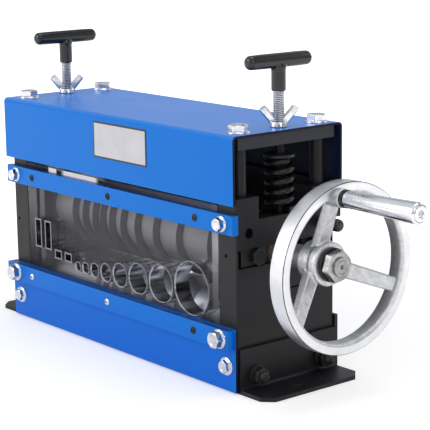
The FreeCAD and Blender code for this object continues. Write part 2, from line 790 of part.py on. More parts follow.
def guide_pads():
    """Pads bolted into the pockets, beside the sliding blocks."""
    pads = []
    inner = guide_width / 2 + pad_block_gap
    outer = rear - pocket_edge - pad_end_gap
    for side in (-1, 1):
        y0, y1 = sorted((side * inner, side * outer))
        pad = box(pocket_floor_x, pocket_floor_x + pad_thickness, y0, y1, pocket_low + pad_fit,
                  pocket_high - pad_fit)
        pad = pad.cut(rod(m8_hex[0] + hole_clearance, at(pocket_floor_x, side * pad_bolt_y, pad_z),
                          axis_x, pad_thickness))
        pads += both_sides(pad)
    return pads


def guide_pad_bolts():
    bolts = []
    seat_x = pocket_floor_x + pad_thickness
    for side in (-1, 1):
        screw = bolt(m8_hex, at(seat_x, side * pad_bolt_y, pad_z), axis_x,
                     pad_thickness + thread_depth - thread_margin)
        bolts += both_sides(screw)
    return bolts


# --- blade shaft -----------------------------------------------------------------------------
def blade_spots():
    """Middle x of each blade, from the handwheel side."""
    ribbons = [x for x, z, opening in slot_layout()[:2]]
    return [x for x, z, bore in guide_layout()] + ribbons


def blade_shaft():
    collar = stack_reach + collar_thickness
    nut_end = -stack_reach - clamp_nut_height - shaft_step
    key_end = hub_front - shaft_step
    points = [(-plate_out, 0), (-plate_out, journal_radius), (nut_end, journal_radius),
              (nut_end, shaft_radius), (stack_reach, shaft_radius),
              (stack_reach, collar_radius), (collar, collar_radius), (collar, journal_radius),
              (hub_back, journal_radius), (hub_back, hub_bore_radius),
              (key_end, hub_bore_radius), (key_end, hub_thread_radius),
              (shaft_end_x - shaft_step, hub_thread_radius),
              (shaft_end_x, hub_thread_radius - shaft_step), (shaft_end_x, 0)]
    shaft = turned(points, shaft_z)
    shaft = shaft.cut(Part.makeCone(0, centre_hole_radius, centre_hole_depth,
                                    at(shaft_end_x - centre_hole_depth, 0, shaft_z), axis_x))
    return shaft.cut(hub_key())


def key_box(x0, x1, gap):
    low = shaft_z + hub_bore_radius - key_height / 2
    half = key_width / 2 + gap
    return box(x0, x1, -half, half, low, low + key_height + gap)


def stripping_blades():
    """Thin discs with an edge ground on both sides."""
    blades = []
    half = blade_thickness / 2
    rim = blade_radius - blade_bevel
    bore = shaft_radius + slip_gap
    for x in blade_spots():
        points = [(x - half, bore), (x - half, rim), (x - blade_edge / 2, blade_radius),
                  (x + blade_edge / 2, blade_radius), (x + half, rim), (x + half, bore)]
        blades.append(turned(points, shaft_z))
    return blades


def spacer_drums():
    """Drums that fill the shaft between the blades."""
    ends = [stack_reach]
    for x in blade_spots():
        ends += [x + blade_thickness / 2, x - blade_thickness / 2]
    ends.append(-stack_reach)
    drums = []
    bore = shaft_radius + slip_gap
    for high, low in zip(ends[::2], ends[1::2]):
        points = [(low, bore), (low, drum_radius - drum_bevel), (low + drum_bevel, drum_radius),
                  (high - drum_bevel, drum_radius), (high, drum_radius - drum_bevel), (high, bore)]
        drums.append(turned(points, shaft_z))
    return drums


def blade_clamp_nut():
    nut = hex_head(clamp_nut_across, at(-stack_reach, 0, shaft_z), -axis_x, clamp_nut_height)
    return nut.cut(rod(shaft_radius + slip_gap, at(-stack_reach, 0, shaft_z), -axis_x,
                       clamp_nut_height))


# --- handwheel and crank handle ----------------------------------------------------------------
def on_crank(x):
    """The point at x on the crank handle's axis."""
    angle = math.radians(handle_angle)
    return at(x, handle_offset * math.cos(angle), shaft_z + handle_offset * math.sin(angle))


def rounded_section(x, reach, width, thickness):
    """A rectangle with round corners, square to the radial direction +Z, at the given reach."""
    half_x = thickness / 2
    half_y = width / 2
    face = Part.Face(Part.makePolygon([
        at(x - half_x, -half_y, reach), at(x + half_x, -half_y, reach),
        at(x + half_x, half_y, reach), at(x - half_x, half_y, reach), at(x - half_x, -half_y, reach)]))
    block = face.extrude(axis_z)
    edges = [e for e in block.Edges if abs(e.tangentAt(0).z) > 0.9]
    block = block.makeFillet(min(width, thickness) * spoke_corner, edges)
    flat = [f for f in block.Faces if abs(f.CenterOfMass.z - reach) < 0.01]
    return flat[0].OuterWire


def spoke(angle):
    root = rounded_section(spoke_root_x, spoke_root_radius, spoke_width, spoke_thickness)
    tip = rounded_section(spoke_tip_x, rim_radius - spoke_tip_inset, spoke_width * spoke_taper,
                          spoke_thickness * spoke_taper)
    arm = Part.makeLoft([root, tip], True)
    arm.rotate(at(0, 0, 0), axis_x, angle - 90)
    arm.translate(at(0, 0, shaft_z))
    return arm


def wheel_rim():
    """A flat ring whose outer edges are nearly sharp and whose inner edges are well rounded."""
    back = wheel_x - rim_half_width
    face = wheel_x + rim_half_width
    outer = rim_radius + rim_half_depth
    inner = rim_radius - rim_half_depth
    rim = turned([(back, inner), (back, outer), (face, outer), (face, inner)], shaft_z)
    for reach, rounding in ((outer, rim_outer_round), (inner, rim_inner_round)):
        circles = [e for e in rim.Edges if abs(e.Length - 2 * math.pi * reach) < 0.01]
        rim = rim.makeFillet(rounding, circles)
    return rim


def wheel_hub():
    collar_back = hub_front - hub_collar_length
    return turned([(hub_back, 0), (hub_back, hub_radius - hub_bevel), (hub_back + hub_bevel, hub_radius),
                   (collar_back - hub_bevel, hub_radius), (collar_back, hub_collar_radius),
                   (hub_front - hub_bevel, hub_collar_radius),
                   (hub_front, hub_collar_radius - hub_bevel), (hub_front, 0)], shaft_z)


def handwheel():
    wheel = wheel_hub()
    for k in range(spoke_count):
        wheel = wheel.fuse(spoke(handle_angle + k * 360 / spoke_count))
    wheel = wheel.fuse(wheel_rim())
    boss_length = handle_boss_front - handle_boss_back
    wheel = wheel.fuse(rod(handle_boss_radius, on_crank(handle_boss_back), axis_x, boss_length))
    wheel = wheel.cut(rod(hub_bore_radius + slip_gap, at(hub_back, 0, shaft_z), axis_x,
                          hub_front - hub_back))
    wheel = wheel.cut(key_box(hub_back, hub_front, slip_gap))
    return wheel.cut(rod(handle_bolt_radius, on_crank(handle_boss_back), axis_x, boss_length))


def hub_key():
    return key_box(hub_back + key_inset, hub_front - key_inset, 0.0)


def hub_washer():
    return tube(hub_washer_radius, hub_thread_radius + slip_gap, at(hub_front, 0, shaft_z), axis_x,
                hub_washer_thickness)


def hub_nut():
    seat = at(hub_nut_x, 0, shaft_z)
    nut = hex_head(hub_nut_across, seat, axis_x, hub_nut_height)
    return nut.cut(rod(hub_thread_radius + slip_gap, seat, axis_x, hub_nut_height))


def handle_bolt():
    shank = rod(handle_bolt_radius, on_crank(handle_boss_back), axis_x,
                handle_end_x - handle_boss_back)
    head_x = handle_end_x - handle_head_height
    head = rod(handle_head_radius, on_crank(head_x), axis_x, handle_head_height)
    rim_edges = [e for e in head.Edges if abs(e.CenterOfMass.x - handle_end_x) < 0.01]
    head = head.makeFillet(handle_head_round, rim_edges)
    socket = prism(handle_socket_across, on_crank(handle_end_x - handle_socket_depth), axis_x,
                   handle_socket_depth)
    return shank.fuse(head).cut(socket)


def handle_base_ring():
    return tube(handle_ring_radius, handle_bolt_radius + slip_gap, on_crank(handle_boss_front), axis_x,
                handle_ring_thickness)


def handle_sleeve():
    low = handle_boss_front + handle_ring_thickness + handle_end_gap
    high = handle_end_x - handle_head_stand
    seat = handle_end_x - handle_head_height - handle_end_gap
    bore = handle_bolt_radius + running_gap
    mouth = handle_head_radius + handle_head_gap
    points = [(low, bore), (low, handle_base_radius - handle_base_bevel),
              (low + handle_base_bevel, handle_base_radius),
              (high - handle_end_bevel, handle_end_radius),
              (high, handle_end_radius - handle_end_bevel), (high, mouth), (seat, mouth), (seat, bore)]
    sleeve_body = turned(points)
    sleeve_body.translate(on_crank(0))
    return sleeve_body


# --- adjusting screws ----------------------------------------------------------------------------
def on_screw(z):
    return at(screw_x, screw_y, z)


def adjusting_screw():
    neck_z = screw_foot_z + screw_foot_height
    thread_z = block_high + screw_shoulder_gap
    foot = rod(screw_foot_radius, on_screw(screw_foot_z), axis_z, screw_foot_height)
    neck = rod(screw_neck_radius, on_screw(neck_z), axis_z, thread_z - neck_z)
    thread = rod(screw_radius, on_screw(thread_z), axis_z, screw_top - thread_z)
    return foot.fuse([neck, thread])


def spring_washer():
    return tube(spring_washer_radius, screw_radius + slip_gap, on_screw(spring_seat_z), axis_z,
                spring_washer_thickness)


def spring():
    coil_radius = spring_outer_radius - spring_wire_radius
    low = notch_floor + spring_wire_radius
    high = spring_seat_z - spring_wire_radius
    path = Part.Wire(Part.makeHelix((high - low) / spring_turns, high - low, coil_radius).Edges)
    start = at(coil_radius, 0, 0)
    circle = Part.Wire(Part.makeCircle(spring_wire_radius, start, axis_y))
    wire = path.makePipeShell([circle], True, True)
    wire.translate(on_screw(low))
    return wire


def t_grip():
    half = grip_bar_length / 2
    bar = rod(grip_bar_radius, on_screw(grip_bar_z) - axis_y * half, axis_y, grip_bar_length)
    ends = [e for e in bar.Edges if abs(abs(e.CenterOfMass.y - screw_y) - half) < 0.01]
    bar = bar.makeFillet(grip_bar_round, ends)
    stem = rod(grip_stem_radius, on_screw(grip_stem_low), axis_z, grip_bar_z - grip_stem_low)
    grip = bar.fuse(stem)
    return grip.cut(rod(screw_radius, on_screw(grip_stem_low), axis_z, screw_top - grip_stem_low))


def wing_nut():
    """A low hub with two broad wings in a V."""
    nut = Part.makeCone(wing_base_radius, wing_top_radius, wing_hub_height, at(0, 0, hood_top))
    half = wing_span / 2
    low = hood_top + wing_foot_gap
    high = hood_top + wing_height
    for side in (-1, 1):
        outline = [at(0, 0, low), at(0, side * wing_root, low),
                   at(0, side * half, high - wing_tip_drop),
                   at(0, side * (half - wing_tip_width), high), at(0, 0, hood_top + wing_crotch)]
        wing = Part.Face(Part.makePolygon(outline + outline[:1])).extrude(axis_x * wing_thickness)
        tips = [e for e in wing.Edges
                if abs(e.tangentAt(0).x) > 0.9 and e.CenterOfMass.z > high - wing_tip_drop - 0.01]
        wing = wing.makeFillet(wing_tip_round, tips)
        wing.translate(at(-wing_thickness / 2, 0, 0))
        nut = nut.fuse(wing)
    nut = nut.cut(rod(screw_radius + thread_gap, at(0, 0, hood_top), axis_z, wing_height))
    nut.rotate(at(0, 0, 0), axis_z, -wing_turn)
    nut.translate(on_screw(0))
    return nut


# --- feed roller -----------------------------------------------------------------------------
def feed_roller():
    """A roller with a V groove under each round guide."""
    end = plate_in - roller_end_gap
    journal = plate_in + roller_bush_length - roller_journal_gap
    points = [(journal, 0), (journal, roller_journal_radius), (end, roller_journal_radius),
              (end, roller_radius)]
    for x, z, bore in guide_layout():
        depth = groove_base_depth + groove_per_bore * bore
        points += [(x + depth, roller_radius), (x, roller_radius - depth), (x - depth, roller_radius)]
    points += [(-end, roller_radius), (-end, roller_journal_radius), (-journal, roller_journal_radius),
               (-journal, 0)]
    return turned(points, roller_z)


def roller_bushes():
    bush = tube(roller_bush_radius, roller_journal_radius + running_gap, at(plate_in, 0, roller_z),
                axis_x, roller_bush_length)
    return both_sides(bush)


def main():
    os.makedirs("parts", exist_ok=True)
    save("right_side_plate", side_plate(right_edge_hole))
    save("left_side_plate", mirrored(side_plate(left_edge_hole)))
    for name, shape in (("foot_angle", foot_angle()), ("cross_bar", cross_bar()),
                        ("bearing_block", bearing_block()), ("adjusting_screw", adjusting_screw()),
                        ("spring_washer", spring_washer()), ("spring", spring()), ("t_grip", t_grip()),
                        ("wing_nut", wing_nut())):
        save("right_" + name, shape)
        save("left_" + name, mirrored(shape))
    for maker in (foot_bolts, rest_pin, hood, hood_posts, hood_bolts, upper_front_bar,
                  lower_front_bar, lower_front_panel, upper_rear_bar, lower_rear_panel,
                  upper_bar_bolts, lower_bar_bolts, panel_bolts, feed_window, window_brackets,
                  window_screws, guide_pads, guide_pad_bolts, blade_shaft, stripping_blades,
                  spacer_drums, blade_clamp_nut, handwheel, hub_key, hub_washer, hub_nut,
                  handle_bolt, handle_base_ring, handle_sleeve, feed_roller, roller_bushes):
        save(maker.__name__, maker())
    save("shaft_bushes", both_sides(shaft_bush()))
    for k, (x, z, bore) in enumerate(guide_layout()):
        save("feed_guide_" + str(k + 1), feed_guide(x, z, bore))
    slots = [sleeve(x, z, opening) for x, z, opening in slot_layout()]
    save("ribbon_guides", slots[:2])
    save("upright_guides", slots[2:])


main()
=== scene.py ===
import math

import bmesh
import bpy
from mathutils import Matrix, Vector


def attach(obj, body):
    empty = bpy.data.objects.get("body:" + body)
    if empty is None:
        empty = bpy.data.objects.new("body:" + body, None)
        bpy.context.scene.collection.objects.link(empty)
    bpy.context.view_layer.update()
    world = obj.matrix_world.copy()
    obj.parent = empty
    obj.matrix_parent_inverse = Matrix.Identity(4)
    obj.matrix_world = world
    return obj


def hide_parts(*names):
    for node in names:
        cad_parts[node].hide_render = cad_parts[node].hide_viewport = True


# Hand crank wire stripper. New pieces are drawn in millimetres and brought to metres when they are
# finished. X runs towards the handwheel, -Y is the feeding side and Z is up.

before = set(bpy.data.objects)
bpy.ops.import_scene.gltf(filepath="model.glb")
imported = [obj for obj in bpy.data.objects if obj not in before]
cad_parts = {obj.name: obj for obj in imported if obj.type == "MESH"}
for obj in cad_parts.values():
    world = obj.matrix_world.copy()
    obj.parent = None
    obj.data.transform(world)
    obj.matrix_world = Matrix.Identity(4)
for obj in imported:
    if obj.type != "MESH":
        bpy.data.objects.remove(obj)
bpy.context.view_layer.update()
print("frame loaded:", len(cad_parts), "nodes")

metre = 0.001
tiny = 0.0001
shaftLine = {"y": 9.7, "z": 110.6}
rollerHeight = 38.0
handleLine = {"y": 1.77, "z": 169.27}
screwLine = {"x": 155.75, "y": 12.5}
hoodTop = 215.3
frontFace = (0, -1, 0)
rearFace = (0, 1, 0)


# shapes
def bevelled(shape, geom, offset, segments=3, affect="EDGES"):
    bmesh.ops.bevel(shape, geom=geom, offset=offset, affect=affect, segments=segments,
                    profile=0.5, material=-1)


def turned(profile, steps=64, segments=4):
    # (radius, height, rounding) corners, spun round Z
    shape = bmesh.new()
    corners = [shape.verts.new((radius, 0, height)) for radius, height, rounding in profile]
    shape.faces.new(corners)
    for corner, (radius, height, rounding) in zip(corners, profile):
        if rounding:
            bevelled(shape, [corner], rounding, segments, "VERTICES")
    bmesh.ops.delete(shape, geom=shape.faces[:], context="FACES_ONLY")
    onAxis = [edge for edge in shape.edges if all(abs(v.co.x) < tiny for v in edge.verts)]
    bmesh.ops.delete(shape, geom=onAxis, context="EDGES")
    bmesh.ops.spin(shape, geom=shape.verts[:] + shape.edges[:], cent=(0, 0, 0), axis=(0, 0, 1),
                   angle=math.tau, steps=steps, use_merge=True)
    bmesh.ops.remove_doubles(shape, verts=shape.verts[:], dist=tiny)
    bmesh.ops.recalc_face_normals(shape, faces=shape.faces[:])
    return shape


def rod(radius, low, high, lowRound, highRound, bore=0, steps=48):
    return turned([(bore, low, 0), (radius, low, lowRound), (radius, high, highRound),
                   (bore, high, 0)], steps)


def hexPrism(across, low, high, edgeRound=0.25):
    shape = bmesh.new()
    radius = across / math.sqrt(3)
    bmesh.ops.create_cone(shape, cap_ends=True, segments=6, radius1=radius, radius2=radius,
                          depth=high - low)
    bevelled(shape, [edge for edge in shape.edges
                     if abs(edge.verts[0].co.z - edge.verts[1].co.z) > tiny], edgeRound, 2)
    bmesh.ops.translate(shape, verts=shape.verts[:], vec=(0, 0, (low + high) / 2))
    return shape


def linked(name, data):
    thing = bpy.data.objects.new(name, data)
    bpy.context.scene.collection.objects.link(thing)
    return thing


def solid(shape, name="work"):
    mesh = bpy.data.meshes.new(name)
    shape.to_mesh(mesh)
    shape.free()
    return linked(name, mesh)


def applied(thing, *others):
    # the thing's mesh with its modifiers, as a new bmesh; the work objects are removed
    depsgraph = bpy.context.evaluated_depsgraph_get()
    mesh = bpy.data.meshes.new_from_object(thing.evaluated_get(depsgraph))
    shape = bmesh.new()
    shape.from_mesh(mesh)
    bpy.data.meshes.remove(mesh)
    for used in (thing,) + others:
        old = used.data
        bpy.data.objects.remove(used)
        bpy.data.meshes.remove(old)
    return shape


def combined(first, second, operation):
    blank = solid(first)
    tool = solid(second)
    cut = blank.modifiers.new("cut", "BOOLEAN")
    cut.operation = operation
    cut.solver = "EXACT"
    cut.object = tool
    return applied(blank, tool)


def blended(shape, voxel, passes):
    # one smooth skin over everything in the shape
    blank = solid(shape)
    skin = blank.modifiers.new("skin", "REMESH")
    skin.mode = "VOXEL"
    skin.voxel_size = voxel
    soft = blank.modifiers.new("soft", "SMOOTH")
    soft.factor = 0.5
    soft.iterations = passes
    return applied(blank)


def addTo(target, shape, place=None, finish=None):
    if finish is not None:
        for face in shape.faces:
            face.material_index = finish
    if place is not None:
        shape.transform(place)
    mesh = bpy.data.meshes.new("part")
    shape.to_mesh(mesh)
    shape.free()
    target.from_mesh(mesh)
    bpy.data.meshes.remove(mesh)


def standing(x, y, z, outward=(0, 0, 1), turn=0.0):
    # a place whose Z points outward, turned about it by some degrees
    aim = Vector(outward).to_track_quat("Z", "Y").to_matrix().to_4x4()
    return Matrix.Translation((x, y, z)) @ aim @ Matrix.Rotation(math.radians(turn), 4, "Z")


def finished(name, shape, looks, body, nodes=(), sharp=35, place=None):
    if place is not None:
        shape.transform(place)
    shape.transform(Matrix.Scale(metre, 4))
    piece = solid(shape, name)
    piece.data.shade_smooth()
    piece.data.set_sharp_from_angle(angle=math.radians(sharp))
    for look in looks:
        piece.data.materials.append(look)
    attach(piece, body)
    if nodes:
        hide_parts(*nodes)
    return piece


# materials
def feed(tree, node, inputs):
    # each input takes a link from another node, or a value of its own
    for key, value in inputs.items():
        if isinstance(value, bpy.types.NodeSocket):
            tree.links.new(value, node.inputs[key])
        else:
            node.inputs[key].default_value = value


def put(tree, kind, inputs=(), **settings):
    made = tree.nodes.new(kind)
    for key, value in settings.items():
        setattr(made, key, value)
    feed(tree, made, dict(inputs))
    return made


def calc(tree, operation, first, second=0.0, clamp=False):
    return put(tree, "ShaderNodeMath", {0: first, 1: second}, operation=operation,
               use_clamp=clamp).outputs[0]


def fitted(tree, value, low, high, toLow=0.0, toHigh=1.0):
    return put(tree, "ShaderNodeMapRange", {"Value": value, "From Min": low, "From Max": high,
                                            "To Min": toLow, "To Max": toHigh}).outputs[0]


def mixed(tree, amount, first, second):
    return put(tree, "ShaderNodeMix", {0: amount, 6: first, 7: second}, data_type="RGBA").outputs[2]


def noise(tree, place, scale, detail, roughness, distortion=0.0):
    return put(tree, "ShaderNodeTexNoise",
               {"Vector": place, "Scale": scale, "Detail": detail, "Roughness": roughness,
                "Distortion": distortion}).outputs[0]


def placeIn(tree):
    return put(tree, "ShaderNodeTexCoord").outputs["Object"]


def partsOf(tree, vector):
    return put(tree, "ShaderNodeSeparateXYZ", {0: vector}).outputs


def facingIn(tree):
    # the parts of the direction that the face looks in
    return partsOf(tree, put(tree, "ShaderNodeNewGeometry").outputs["Normal"])


def lengthOf(tree, vector):
    return put(tree, "ShaderNodeVectorMath", {0: vector}, operation="LENGTH").outputs["Value"]


def product(tree, first, *others):
    for other in others:
        first = calc(tree, "MULTIPLY", first, other)
    return first


def drifting(tree, drift, low, spread):
    return fitted(tree, drift, 0.0, 1.0, low, low + spread)


def newGroup(name, inputs, outputs):
    tree = bpy.data.node_groups.new(name, "ShaderNodeTree")
    for label, kind, value in inputs:
        socket = tree.interface.new_socket(label, in_out="INPUT", socket_type=kind)
        socket.default_value = value
    for label, kind in outputs:
        tree.interface.new_socket(label, in_out="OUTPUT", socket_type=kind)
    return tree, tree.nodes.new("NodeGroupInput").outputs, tree.nodes.new("NodeGroupOutput").inputs


def useGroup(tree, group, **inputs):
    return put(tree, "ShaderNodeGroup", inputs, node_tree=group).outputs


number = "NodeSocketFloat"
direction = "NodeSocketVector"


def makeWear():
    # worn edges: where the rounded normal leaves the face's own, broken up by noise
    tree, given, out = newGroup("edgeWear", [("Radius", number, 0.0006), ("Amount", number, 0.5),
                                             ("Size", number, 250.0)],
                                [("Mask", number)])
    rounded = put(tree, "ShaderNodeBevel", {"Radius": given["Radius"]}, samples=4)
    own = put(tree, "ShaderNodeNewGeometry")
    same = put(tree, "ShaderNodeVectorMath", {0: rounded.outputs[0], 1: own.outputs["Normal"]},
               operation="DOT_PRODUCT").outputs["Value"]
    edge = calc(tree, "MULTIPLY", calc(tree, "SUBTRACT", 1.0, same), 9.0, clamp=True)
    patchy = noise(tree, placeIn(tree), given["Size"], 4.0, 0.65)
    broken = fitted(tree, patchy, 0.38, 0.62)
    worn = calc(tree, "MULTIPLY", calc(tree, "MULTIPLY", edge, broken), given["Amount"], clamp=True)
    tree.links.new(worn, out["Mask"])
    return tree


def makeGrain():
    # fine even texture of a coat or a blasted surface, with slow variation beside it
    tree, given, out = newGroup("fineGrain", [("Size", number, 900.0), ("Spread", number, 18.0)],
                                [("Height", number), ("Drift", number)])
    place = placeIn(tree)
    small = noise(tree, place, given["Size"], 3.0, 0.55)
    wide = noise(tree, place, given["Spread"], 4.0, 0.6)
    tree.links.new(small, out["Height"])
    tree.links.new(fitted(tree, wide, 0.3, 0.7), out["Drift"])
    return tree


def makeRings():
    # turning marks: rings round an axis along X, at any radius and place along it
    tree, given, out = newGroup("turnedRings", [("Centre", direction, (0, 0, 0)),
                                                ("Fineness", number, 2500.0)],
                                [("Height", number), ("Radius", number)])
    local = put(tree, "ShaderNodeVectorMath", {0: placeIn(tree), 1: given["Centre"]},
                operation="SUBTRACT").outputs[0]
    split = partsOf(tree, local)
    across = put(tree, "ShaderNodeCombineXYZ", {"Y": split["Y"], "Z": split["Z"]}).outputs[0]
    radius = lengthOf(tree, across)
    along = put(tree, "ShaderNodeCombineXYZ", {"X": split["X"], "Y": radius}).outputs[0]
    tree.links.new(noise(tree, along, given["Fineness"], 3.0, 0.6), out["Height"])
    tree.links.new(radius, out["Radius"])
    return tree


def makeCast():
    # the skin of a casting: lumps, pits and a mottled tone
    tree, given, out = newGroup("castSkin", [("Size", number, 160.0)],
                                [("Height", number), ("Tone", number)])
    place = placeIn(tree)
    lumps = noise(tree, place, given["Size"], 6.0, 0.7, 0.4)
    fine = calc(tree, "MULTIPLY", given["Size"], 7.0)
    pits = put(tree, "ShaderNodeTexVoronoi", {"Vector": place, "Scale": fine}).outputs["Distance"]
    height = calc(tree, "ADD", lumps, calc(tree, "MULTIPLY", pits, 0.35))
    speck = noise(tree, place, fine, 4.0, 0.75)
    mottle = calc(tree, "ADD", calc(tree, "MULTIPLY", lumps, 0.6), calc(tree, "MULTIPLY", speck, 0.4))
    tree.links.new(height, out["Height"])
    tree.links.new(fitted(tree, mottle, 0.36, 0.64), out["Tone"])
    return tree


edgeWear = makeWear()
fineGrain = makeGrain()
turnedRings = makeRings()
castSkin = makeCast()


def newLook(name):
    look = bpy.data.materials.new(name)
    look.use_nodes = True
    tree = look.node_tree
    shader = tree.nodes["Principled BSDF"]
    return look, tree, shader


def wire(tree, shader, **inputs):
    feed(tree, shader, {key.replace("_", " "): value for key, value in inputs.items()})


def bump(tree, height, strength, depth, normal=None):
    made = put(tree, "ShaderNodeBump", {"Height": height, "Strength": strength, "Distance": depth})
    if normal is not None:
        tree.links.new(normal, made.inputs["Normal"])
    return made.outputs[0]


def rounded(tree, radius):
    return put(tree, "ShaderNodeBevel", {"Radius": radius}, samples=6).outputs[0]


def tone(red, green, blue):
    return (red, green, blue, 1.0)


enamelLook = {"blue": tone(0.001, 0.210, 0.800), "blueLowShade": tone(0.001, 0.168, 0.770),
              "lowFrom": 0.06, "lowTo": 0.02, "drift": 0.05, "edgeTone": tone(0.03, 0.26, 0.76),
              "inside": tone(0.010, 0.020, 0.055), "endShade": tone(0.006, 0.008, 0.020),
              "barTopShade": tone(0.004, 0.070, 0.330), "hoodLow": 0.1560, "hollowTop": 0.2138,
              "hollowMiddle": 0.00995, "hollowHalf": 0.0583, "panelFront": -0.0479, "panelTop": 0.0560,
              "roughness": 0.30, "gloss": 0.14, "topGloss": 0.46, "grain": 1400.0, "edge": 0.0007}


def makeBlue():
    look, tree, shader = newLook("blueEnamel")
    size = enamelLook
    grain = useGroup(tree, fineGrain, Size=size["grain"], Spread=9.0)
    worn = useGroup(tree, edgeWear, Radius=size["edge"], Amount=0.55, Size=300.0)["Mask"]
    split = partsOf(tree, placeIn(tree))
    facing = facingIn(tree)
    # painted shade: the blue is deeper on the panel below the window, where less light falls, with a
    # little random drift
    lowShade = calc(tree, "ADD", fitted(tree, split["Z"], size["lowFrom"], size["lowTo"]),
                   product(tree, grain["Drift"], size["drift"]), clamp=True)
    coat = mixed(tree, lowShade, size["blue"], size["blueLowShade"])
    coat = mixed(tree, worn, coat, size["edgeTone"])
    # painted shade: the inner faces of the hood are dark, and so are the sheets' end faces across X
    onHood = calc(tree, "GREATER_THAN", split["Z"], size["hoodLow"])
    offMiddle = calc(tree, "ABSOLUTE", calc(tree, "SUBTRACT", split["Y"], size["hollowMiddle"]))
    hollowShade = product(tree, calc(tree, "LESS_THAN", offMiddle, size["hollowHalf"]),
                     calc(tree, "LESS_THAN", split["Z"], size["hollowTop"]), onHood)
    coat = mixed(tree, hollowShade, coat, size["inside"])
    onPanel = product(tree, calc(tree, "GREATER_THAN", split["Y"], size["panelFront"]),
                      calc(tree, "LESS_THAN", split["Z"], size["panelTop"]))
    endShade = product(tree, calc(tree, "GREATER_THAN", calc(tree, "ABSOLUTE", facing["X"]), 0.9),
                   calc(tree, "MAXIMUM", onHood, onPanel))
    coat = mixed(tree, endShade, coat, size["endShade"])
    # painted shade: the upward faces below the hood take a deeper blue, standing for the dark hood and
    # window that they reflect
    barTopShade = product(tree, calc(tree, "GREATER_THAN", facing["Z"], 0.7),
                    calc(tree, "SUBTRACT", 1.0, onHood))
    coat = mixed(tree, barTopShade, coat, size["barTopShade"])
    # the hood's top shines more than the upright faces
    wire(tree, shader, Base_Color=coat,
         Roughness=drifting(tree, grain["Drift"], size["roughness"] - 0.03, 0.07),
         Specular_IOR_Level=fitted(tree, facing["Z"], 0.3, 0.9, size["gloss"], size["topGloss"]),
         Normal=bump(tree, grain["Height"], 0.06, 0.0002, rounded(tree, 0.0006)))
    return look


blackLook = {"bright": tone(0.0070, 0.0070, 0.0090), "dull": tone(0.0110, 0.0110, 0.0140),
             "worn": tone(0.08, 0.08, 0.09), "roughness": 0.38}
barLook = {"bright": tone(0.024, 0.026, 0.038), "dull": tone(0.034, 0.037, 0.052),
           "worn": tone(0.10, 0.10, 0.12), "roughness": 0.40}
zincLook = {"bright": tone(0.72, 0.72, 0.75), "dull": tone(0.50, 0.51, 0.55), "roughness": 0.15}


def makeCoat(name, size, grain, wear, lumps, depth, **fixed):
    # a coat that drifts between two tones, worn to a third on its edges
    look, tree, shader = newLook(name)
    skin = useGroup(tree, fineGrain, Size=grain[0], Spread=grain[1])
    edge, amount, spots, bare = wear
    worn = useGroup(tree, edgeWear, Radius=edge, Amount=amount, Size=spots)["Mask"]
    coat = mixed(tree, skin["Drift"], size["bright"], size["dull"])
    wire(tree, shader, Base_Color=mixed(tree, worn, coat, bare),
         Roughness=drifting(tree, skin["Drift"], size["roughness"], 0.1),
         Normal=bump(tree, skin["Height"], lumps, depth, rounded(tree, edge)), **fixed)
    return look


def makeBlack(name, size, grainSize=1100.0, lumps=0.12, wear=0.35):
    return makeCoat(name, size, (grainSize, 26.0), (0.0006, wear, 420.0, size["worn"]), lumps,
                    0.0003, Specular_IOR_Level=0.28)


def makeZinc(name, size, grainSize=500.0, edge=0.00035):
    return makeCoat(name, size, (grainSize, 110.0), (edge, 0.6, 600.0, tone(0.88, 0.88, 0.90)),
                    0.03, 0.0002, Metallic=1.0)


threadLook = {"crest": tone(0.74, 0.74, 0.78), "bare": tone(0.90, 0.90, 0.92),
              "root": tone(0.24, 0.23, 0.26), "shadedLow": tone(0.012, 0.012, 0.014),
              "rootRadius": 0.00452, "upperFrom": 0.236, "shadeTo": 0.2135, "roughness": 0.26}


def makeThread():
    # painted shade: the roots are darker than the crests, and what stays under the hood is dark; the
    # crests are lighter above a set height
    look, tree, shader = newLook("threadSteel")
    size = threadLook
    split = partsOf(tree, placeIn(tree))
    aside = calc(tree, "SUBTRACT", calc(tree, "ABSOLUTE", split["X"]), screwLine["x"] * metre)
    ahead = calc(tree, "SUBTRACT", split["Y"], screwLine["y"] * metre)
    radius = lengthOf(tree, put(tree, "ShaderNodeCombineXYZ", {"X": aside, "Y": ahead}).outputs[0])
    crest = mixed(tree, calc(tree, "GREATER_THAN", split["Z"], size["upperFrom"]),
                  size["crest"], size["bare"])
    metal = mixed(tree, calc(tree, "LESS_THAN", radius, size["rootRadius"]), crest, size["root"])
    shadedLow = calc(tree, "LESS_THAN", split["Z"], size["shadeTo"])
    metal = mixed(tree, shadedLow, metal, size["shadedLow"])
    grain = useGroup(tree, fineGrain, Size=900.0, Spread=80.0)
    wire(tree, shader, Base_Color=metal,
         Roughness=drifting(tree, grain["Drift"], size["roughness"], 0.1),
         Metallic=fitted(tree, shadedLow, 0.0, 1.0, 1.0, 0.4),
         Normal=rounded(tree, 0.00015))
    return look


steelLook = {"bright": tone(0.78, 0.78, 0.81), "dull": tone(0.58, 0.58, 0.62), "roughness": 0.34}


def makeTurnedSteel(name, centre, size, fineness=2600.0, lines=0.25):
    look, tree, shader = newLook(name)
    rings = useGroup(tree, turnedRings, Centre=centre, Fineness=fineness)
    grain = useGroup(tree, fineGrain, Size=500.0, Spread=60.0)
    steel = mixed(tree, grain["Drift"], size["bright"], size["dull"])
    marked = fitted(tree, rings["Height"], 0.3, 0.7, size["roughness"], size["roughness"] + 0.16)
    wire(tree, shader, Base_Color=steel, Roughness=marked, Metallic=1.0,
         Normal=bump(tree, rings["Height"], lines, 0.00006, rounded(tree, 0.0003)))
    return look


castLook = {"light": tone(0.74, 0.74, 0.75), "dark": tone(0.42, 0.42, 0.44), "roughness": 0.36}


